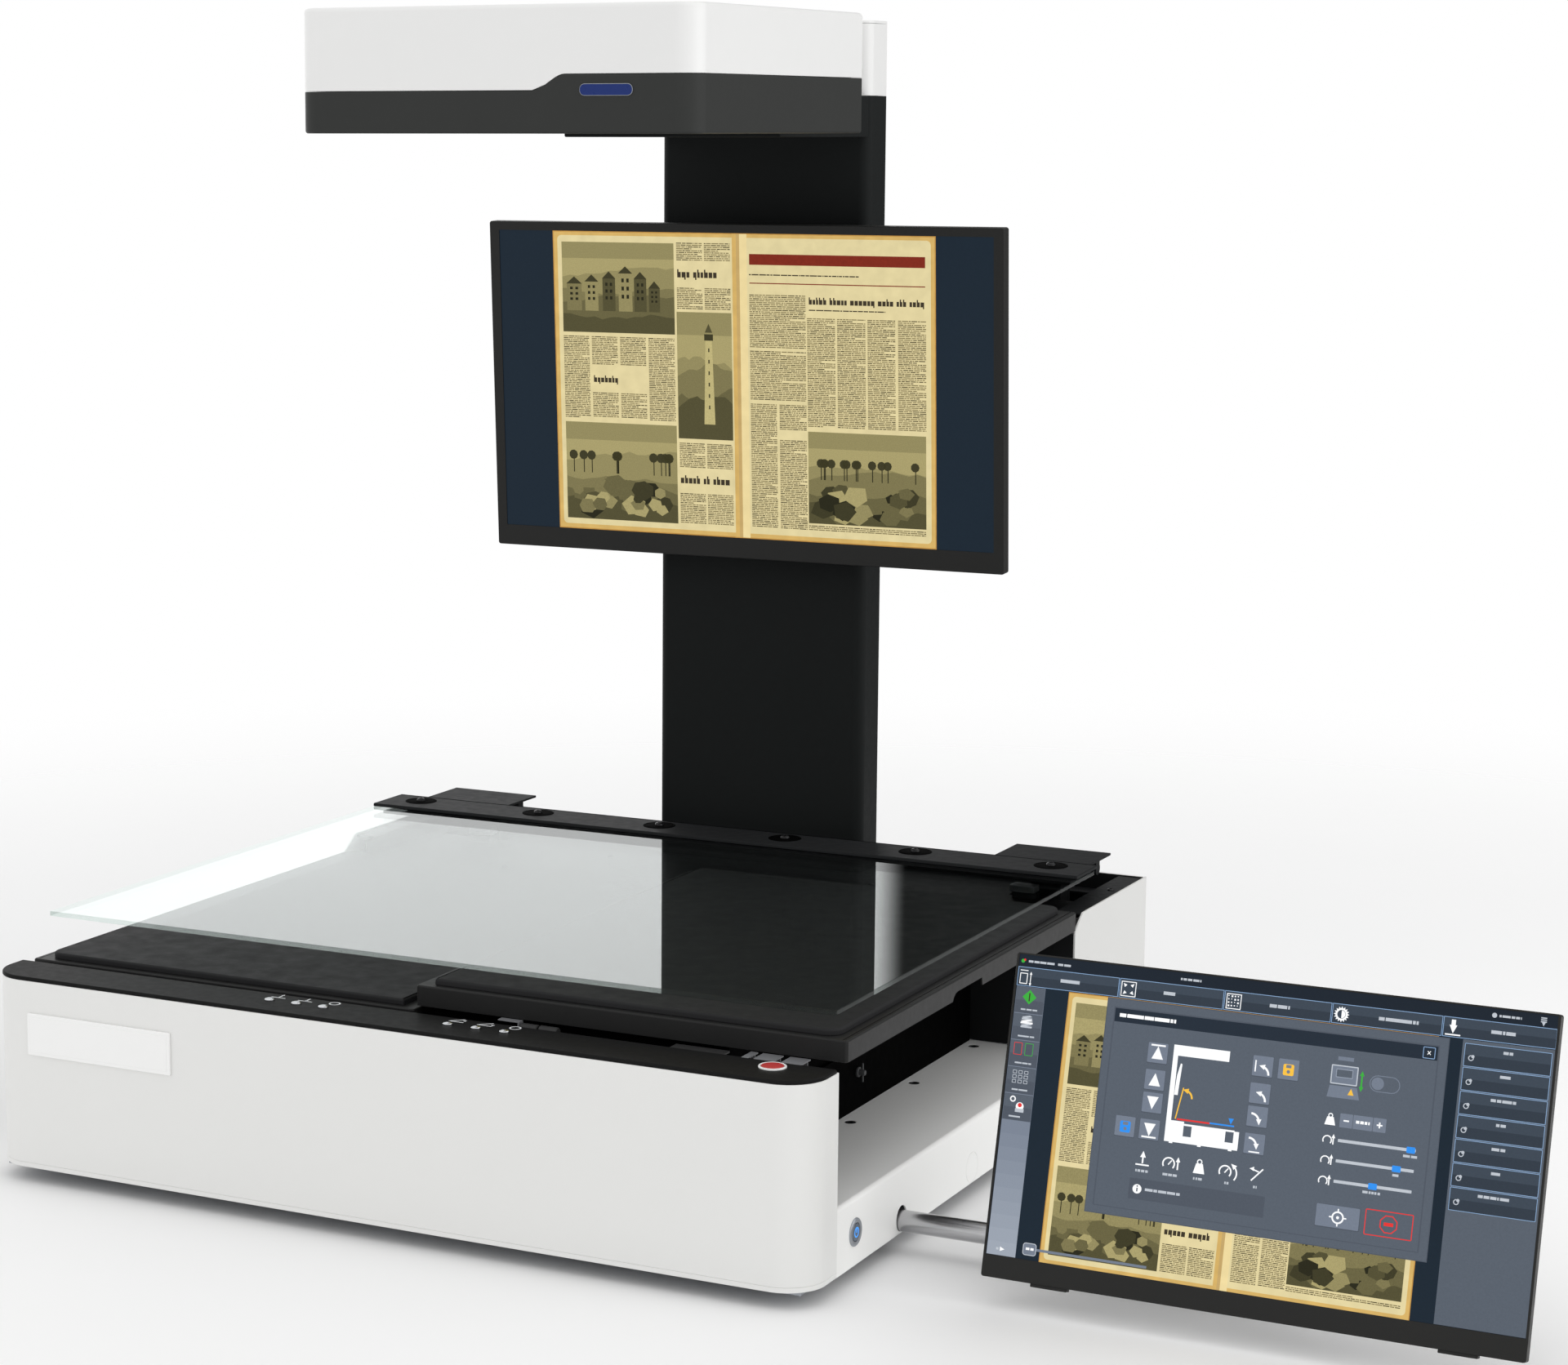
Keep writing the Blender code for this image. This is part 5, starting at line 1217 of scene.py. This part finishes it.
def machine_icon(d, t):
    """The machine from the side, with its glass plate's two ends of travel."""
    d.rects("white", t, (189, 79.6, 251, 91), (189, 79.6, 194.4, 183.4))
    d.poly([(198.4, 99), (200.2, 99.4), (198.6, 133), (194.6, 133), (195.6, 112)], "white", t)
    d.rect(189, 160.4, 209, 183.4, "white", t)
    d.rect(189, 176, 270, 183.4, "white", t + 1)
    d.rects("white", t, (218, 163.6, 255.4, 177), (264.4, 163.6, 270.2, 182))
    d.rect(209, 162.6, 265, 164.6, "white", t + 1)
    for x in (196.5, 228, 262):
        d.rect(x - 2, 183.4, x + 2, 184.8, "white", t)
    d.line(198.8, 158.4, 204.4, 124.4, 1.3, "yellow", t + 1)
    curved_arrow(d, 206.2, 135.4, 9.4, 0, -80, "yellow", t + 1, 2.0)
    d.rect(200.6, 157.6, 237, 159.4, "red", t + 2)
    d.rect(237, 157.4, 264, 159.0, "blue", t + 2)
    d.triangle(260, 152.8, 3.8, 90, "blue", t + 2)


def status_row(d, t, rng):
    y = 204.0
    d.rects("white", t, (160.4, y + 7.4, 175.4, y + 9.0), (167.1, y - 1.5, 168.9, y + 6.5))
    d.triangle(168, y - 2.6, 4.2, 270, "white", t)
    for x in (197.0, 259.5):
        d.ring(x, y + 3.0, 7.2, 1.6, "white", t, 150, 400, 24)
        d.line(x - 0.5, y + 4.0, x + 3.2, y - 0.8, 1.3, "white", t)
    d.rect(206.4, y - 1.0, 208.0, y + 8.4, "white", t)
    d.triangle(207.2, y - 2.0, 3.2, 270, "white", t)
    curved_arrow(d, 262.0, y + 4.2, 11.0, 40, -52, "white", t, 1.6)
    d.poly([(224.6, y + 9.0), (227.2, y - 1.6), (234.6, y - 1.6), (237.2, y + 9.0)], "white", t)
    d.ring(230.9, y - 3.4, 3.0, 1.2, "white", t, sides=18)
    d.line(288.4, y + 8.4, 300.4, y - 5.0, 1.5, "white", t)
    d.triangle(288.6, y - 4.2, 3.0, 180, "white", t)
    d.line(288, y - 4.0, 296, y - 1.6, 1.4, "white", t)
    for x, wide in ((168, 14), (199.5, 16), (231, 11), (262.5, 5), (293.5, 4)):
        d.words(x - wide / 2, y + 13.4, x + wide / 2, y + 17.2, 8, 2.6, "grey", t, rng, 5)
    d.rect(156, 227.2, 305.6, 249.6, "slate_dark", t)
    d.disc(165.2, 238.4, 5.0, "white", t + 1, 24)
    d.rect(164.5, 237.2, 165.9, 241.2, "slate_dark", t + 2)
    d.disc(165.2, 235.4, 0.9, "slate_dark", t + 2, 8)
    d.words(174, 236.6, 213, 240.0, 8, 2.8, "grey", t + 1, rng, 20)


def settings(d, t, rng):
    d.framed(361.6, 79.4, 390.4, 99.6, 1.2, "grey", "slate_light", t, 1.0)
    d.rect(367.6, 70.4, 384.4, 74.4, "slate_light", t)
    d.poly([(361.4, 101.2), (390.6, 101.2), (394.0, 113.8), (359.4, 113.8)], "slate_light", t)
    d.framed(367, 83.4, 385, 92.4, 0.7, "pale", "slate", t + 2, 0.6)
    d.triangle(394.8, 86.0, 3.2, 270, "green", t)
    d.rect(393.9, 87, 395.7, 101, "green", t)
    d.triangle(394.8, 101.6, 3.2, 90, "green", t)
    d.triangle(384.6, 107.0, 4.2, 270, "yellow", t + 3)
    d.framed(403.2, 85.2, 435.6, 102.6, 0.9, "slate_light", "slate", t, 8.6)
    d.disc(411.9, 93.9, 6.6, "slate_light", t + 2, 24)
    d.poly([(360.2, 143.0), (362.6, 134.4), (369.4, 134.4), (371.8, 143.0)], "white", t)
    d.ring(366, 133.0, 2.6, 1.1, "white", t, sides=16)
    for x0, x1 in ((376.2, 389.8), (390.4, 411.0), (411.6, 425.2)):
        d.soft(x0, 129.4, x1, 144.0, 0.8, "slate_light", t)
    d.rects("white", t + 1, (380.2, 136.0, 386.0, 137.6), (415.4, 136.0, 421.4, 137.6),
            (417.6, 133.8, 419.2, 139.8))
    d.words(393.4, 135.0, 408.0, 138.6, 8, 3.0, "white", t + 1, rng, 5)
    for y, at, wide in ((158.0, 453.6, 15), (179.4, 440.6, 7), (200.8, 417.8, 20)):
        d.soft(376.4, y - 1.6, 458.8, y + 1.6, 0.5, "grey", t)
        d.soft(at - 4.6, y - 3.3, at + 4.6, y + 3.3, 1.0, "blue", t + 1)
        d.words(at - wide / 2, y + 5.4, at + wide / 2, y + 9.0, 8, 2.6, "grey", t, rng, 6)
        d.ring(365.0, y + 1.0, 5.2, 1.3, "white", t, 150, 400, 20)
        d.triangle(371.4, y - 3.4, 2.6, 270, "white", t)
        d.rect(370.7, y - 3.0, 372.1, y + 5.0, "white", t)
    d.soft(361.0, 225.4, 408.4, 250.0, 1.2, "slate_dark", t)
    d.soft(361.4, 225.8, 407.6, 248.8, 1.1, "slate_light", t + 1)
    d.ring(384.8, 238.0, 6.6, 1.7, "white", t + 2, sides=28)
    d.disc(384.8, 238.0, 1.6, "white", t + 2, 12)
    for dx, dy in ((1, 0), (-1, 0), (0, 1), (0, -1)):
        d.line(384.8 + dx * 5.4, 238 + dy * 5.4, 384.8 + dx * 9.2, 238 + dy * 9.2, 1.4, "white", t + 2)
    d.framed(413.4, 224.0, 464.0, 251.2, 1.0, "red", "slate", t, 1.6)
    d.disc(438.6, 237.6, 10.0, "red", t + 2, 8, pi / 8)
    d.disc(438.6, 237.6, 8.8, "slate", t + 3, 8, pi / 8)
    d.rect(433.6, 235.8, 443.6, 239.4, "red", t + 4)


def touchscreen():
    w, h, face = 0.5927, 0.3565, -0.055
    place = display("touchscreen", -15.3, (w, h, face, 0.003, 0.0008), face + 0.014,
                    ((0.2, 0.125, 0.016), face + 0.013, face + 0.0362),
                    (0.0028, 0.0028, 0.332, 0.0018, 0.0006, 0.0016),
                    (12, 0.06, 0.0042, 0.16, (face + 0.033, face + 0.042)), "deep")
    d = Drawing(w, h, face + 0.0011, 0.000025)
    touch_menu(d)
    d.piece("touchscreen_menu", "touchscreen", place)
    bm = bmesh.new()
    for x in (-0.2185, 0.2265):
        pad = rounded((x - 0.0208, -h / 2 - 0.0037), (x + 0.0208, -h / 2 + 0.0002), 0.001, 2)
        slab(bm, pad, face + 0.0016, face + 0.012, 0.0006, "XZ")
    put("touchscreen_edge_pads", bm, BEZEL, "dark_plastic", body="touchscreen", place=place)
    finish_node("tilt_plate", ZINC, 0.0005)
    places = [(x, face + 0.0395, z) for x in (-0.05, 0.05) for z in (-0.05, 0.05)]
    screws("touchscreen_plate_screws", places, "Y", 0.004, 0.0018, body="touchscreen", place=place)


def arm():
    """The tube from the base's side to the touchscreen's post, one bend in one plane."""
    low, high = span("arm_tube")
    r = (high.y - low.y) / 2
    y, z, post = (low.y + high.y) / 2, low.z + r, high.x - r
    bend, sides = 0.045, 40
    line = ([(low.x, z), (low.x + 0.05, z), (0.6, z), (0.75, z), (0.9, z)]
            + arc((post - bend, z + bend), bend, 270, 360, 18) + [(post, high.z)])
    rows = []
    for i, (x, height) in enumerate(line):
        before, after = line[max(0, i - 1)], line[min(len(line) - 1, i + 1)]
        dx, dz = after[0] - before[0], after[1] - before[1]
        size = hypot(dx, dz)
        nx, nz = -dz / size, dx / size
        ring = [polar((0, 0), r, tau * k / sides) for k in range(sides)]
        rows.append([(x + nx * u, y + v, height + nz * u) for u, v in ring])
    bm = bmesh.new()
    loft(bm, rows)
    put("side_arm", bm, STEEL, "bright_steel", "arm_tube")
    finish_node("swivel_block", BACK_PLASTIC, 0.001)


# ---------------------------------------------------------------- surroundings
# name, place, size in metres, watts
STUDIO_LAMPS = (("key", (-2.6, -2.8, 3.4), 2.6, 10), ("fill", (4.2, -0.4, 1.7), 3.0, 5),
                ("side", (3.4, 0.9, 1.5), 2.4, 22), ("top", (0.6, 0.8, 4.2), 3.4, 10))


def linked(name, data, where=(0, 0, 0)):
    obj = bpy.data.objects.new(name, data)
    scene.collection.objects.link(obj)
    obj.location = where
    return obj


def stage():
    """A pale floor that fades out with distance, and four soft lamps that face the machine."""
    mesh = bpy.data.meshes.new("floor")
    bm = bmesh.new()
    bmesh.ops.create_circle(bm, cap_ends=True, segments=96, radius=9.0)
    bm.to_mesh(mesh)
    bm.free()
    linked("floor", mesh)
    paper, tree, shader, place = blank("studio_floor")
    reach = node(tree, "VectorMath", {0: place}, operation="LENGTH").outputs["Value"]
    pale = shades(tree, noise(tree, place, 2.0, 3.0), (0.93, 0.93, 0.93), 0.01)
    tree.links.new(pale, shader.inputs["Base Color"])
    tree.links.new(step(tree, reach, 1.5, 3.8, 1.0, 0.0), shader.inputs["Alpha"])
    shader.inputs["Roughness"].default_value = 0.9
    shader.inputs["Specular IOR Level"].default_value = 0.1
    mesh.materials.append(paper)
    scene.world = studio_world()
    target = ORIGIN + Vector((0.1, 0.5, 0.4))
    for name, where, size, power in STUDIO_LAMPS:
        lamp = bpy.data.lights.new(name, "AREA")
        lamp.size, lamp.energy = size, power
        obj = linked(name, lamp, ORIGIN + Vector(where))
        obj.rotation_euler = (target - obj.location).to_track_quat("-Z", "Y").to_euler()


def step(tree, value, start, end, low, high):
    """A smooth change from low to high while the value goes from start to end."""
    return node(tree, "MapRange", {"Value": value, "From Min": start, "From Max": end, "To Min": low,
                                   "To Max": high}, interpolation_type="SMOOTHSTEP").outputs[0]


def studio_world():
    """A white room. Behind the object a bright screen stands to the left and a dark curtain to the right."""
    world = bpy.data.worlds.new("studio")
    world.use_nodes = True
    tree = world.node_tree
    shader = tree.nodes["Background"]

    def times(a, b):
        return node(tree, "Math", {0: a, 1: b}, operation="MULTIPLY").outputs[0]

    way = node(tree, "SeparateXYZ", {"Vector": node(tree, "TexCoord").outputs["Generated"]})
    turn = node(tree, "Math", {0: times(way.outputs["X"], -1.0), 1: way.outputs["Y"]},
                operation="ARCTAN2").outputs[0]
    screen_to_curtain = step(tree, turn, radians(22.5), radians(23.2), 0.0, 1.3)
    sideways = times(step(tree, turn, radians(-40), radians(-20), 0.0, 1.0),
                     step(tree, turn, radians(60), radians(85), 1.0, 0.0))
    near = times(sideways, step(tree, way.outputs["Z"], 0.34, 0.52, 1.0, 0.0))
    room = node(tree, "Mix", {0: near, 2: 0.9, 3: screen_to_curtain}, data_type="FLOAT").outputs[0]
    seen = node(tree, "LightPath").outputs["Is Camera Ray"]
    light = node(tree, "Mix", {0: seen, 2: room, 3: 1.0}, data_type="FLOAT").outputs[0]
    shader.inputs["Color"].default_value = (1.0, 1.0, 1.0, 1.0)
    tree.links.new(light, shader.inputs["Strength"])
    return world


def camera():
    lens = bpy.data.cameras.new("photo_view")
    lens.sensor_width, lens.lens = 36.0, 80.49
    lens.shift_x, lens.shift_y = 0.1292, 0.0073
    lens.clip_start, lens.clip_end = 0.05, 100.0
    scene.camera = linked("photo_view", lens, ORIGIN + Vector((2.0445, -3.3455, 1.2757)))
    scene.camera.rotation_euler = (radians(90 - 9.165), 0.0, radians(27.915))


base_covers()
for side, sign in SIDES:
    side_housing(side, sign)
    tray(side, sign)
for build in (rear_panels, inner_base, behind_the_plate, controls, column, head, glass_group, preview_monitor,
              touchscreen, arm, stage, camera):
    build()
scene.view_settings.view_transform = "Standard"
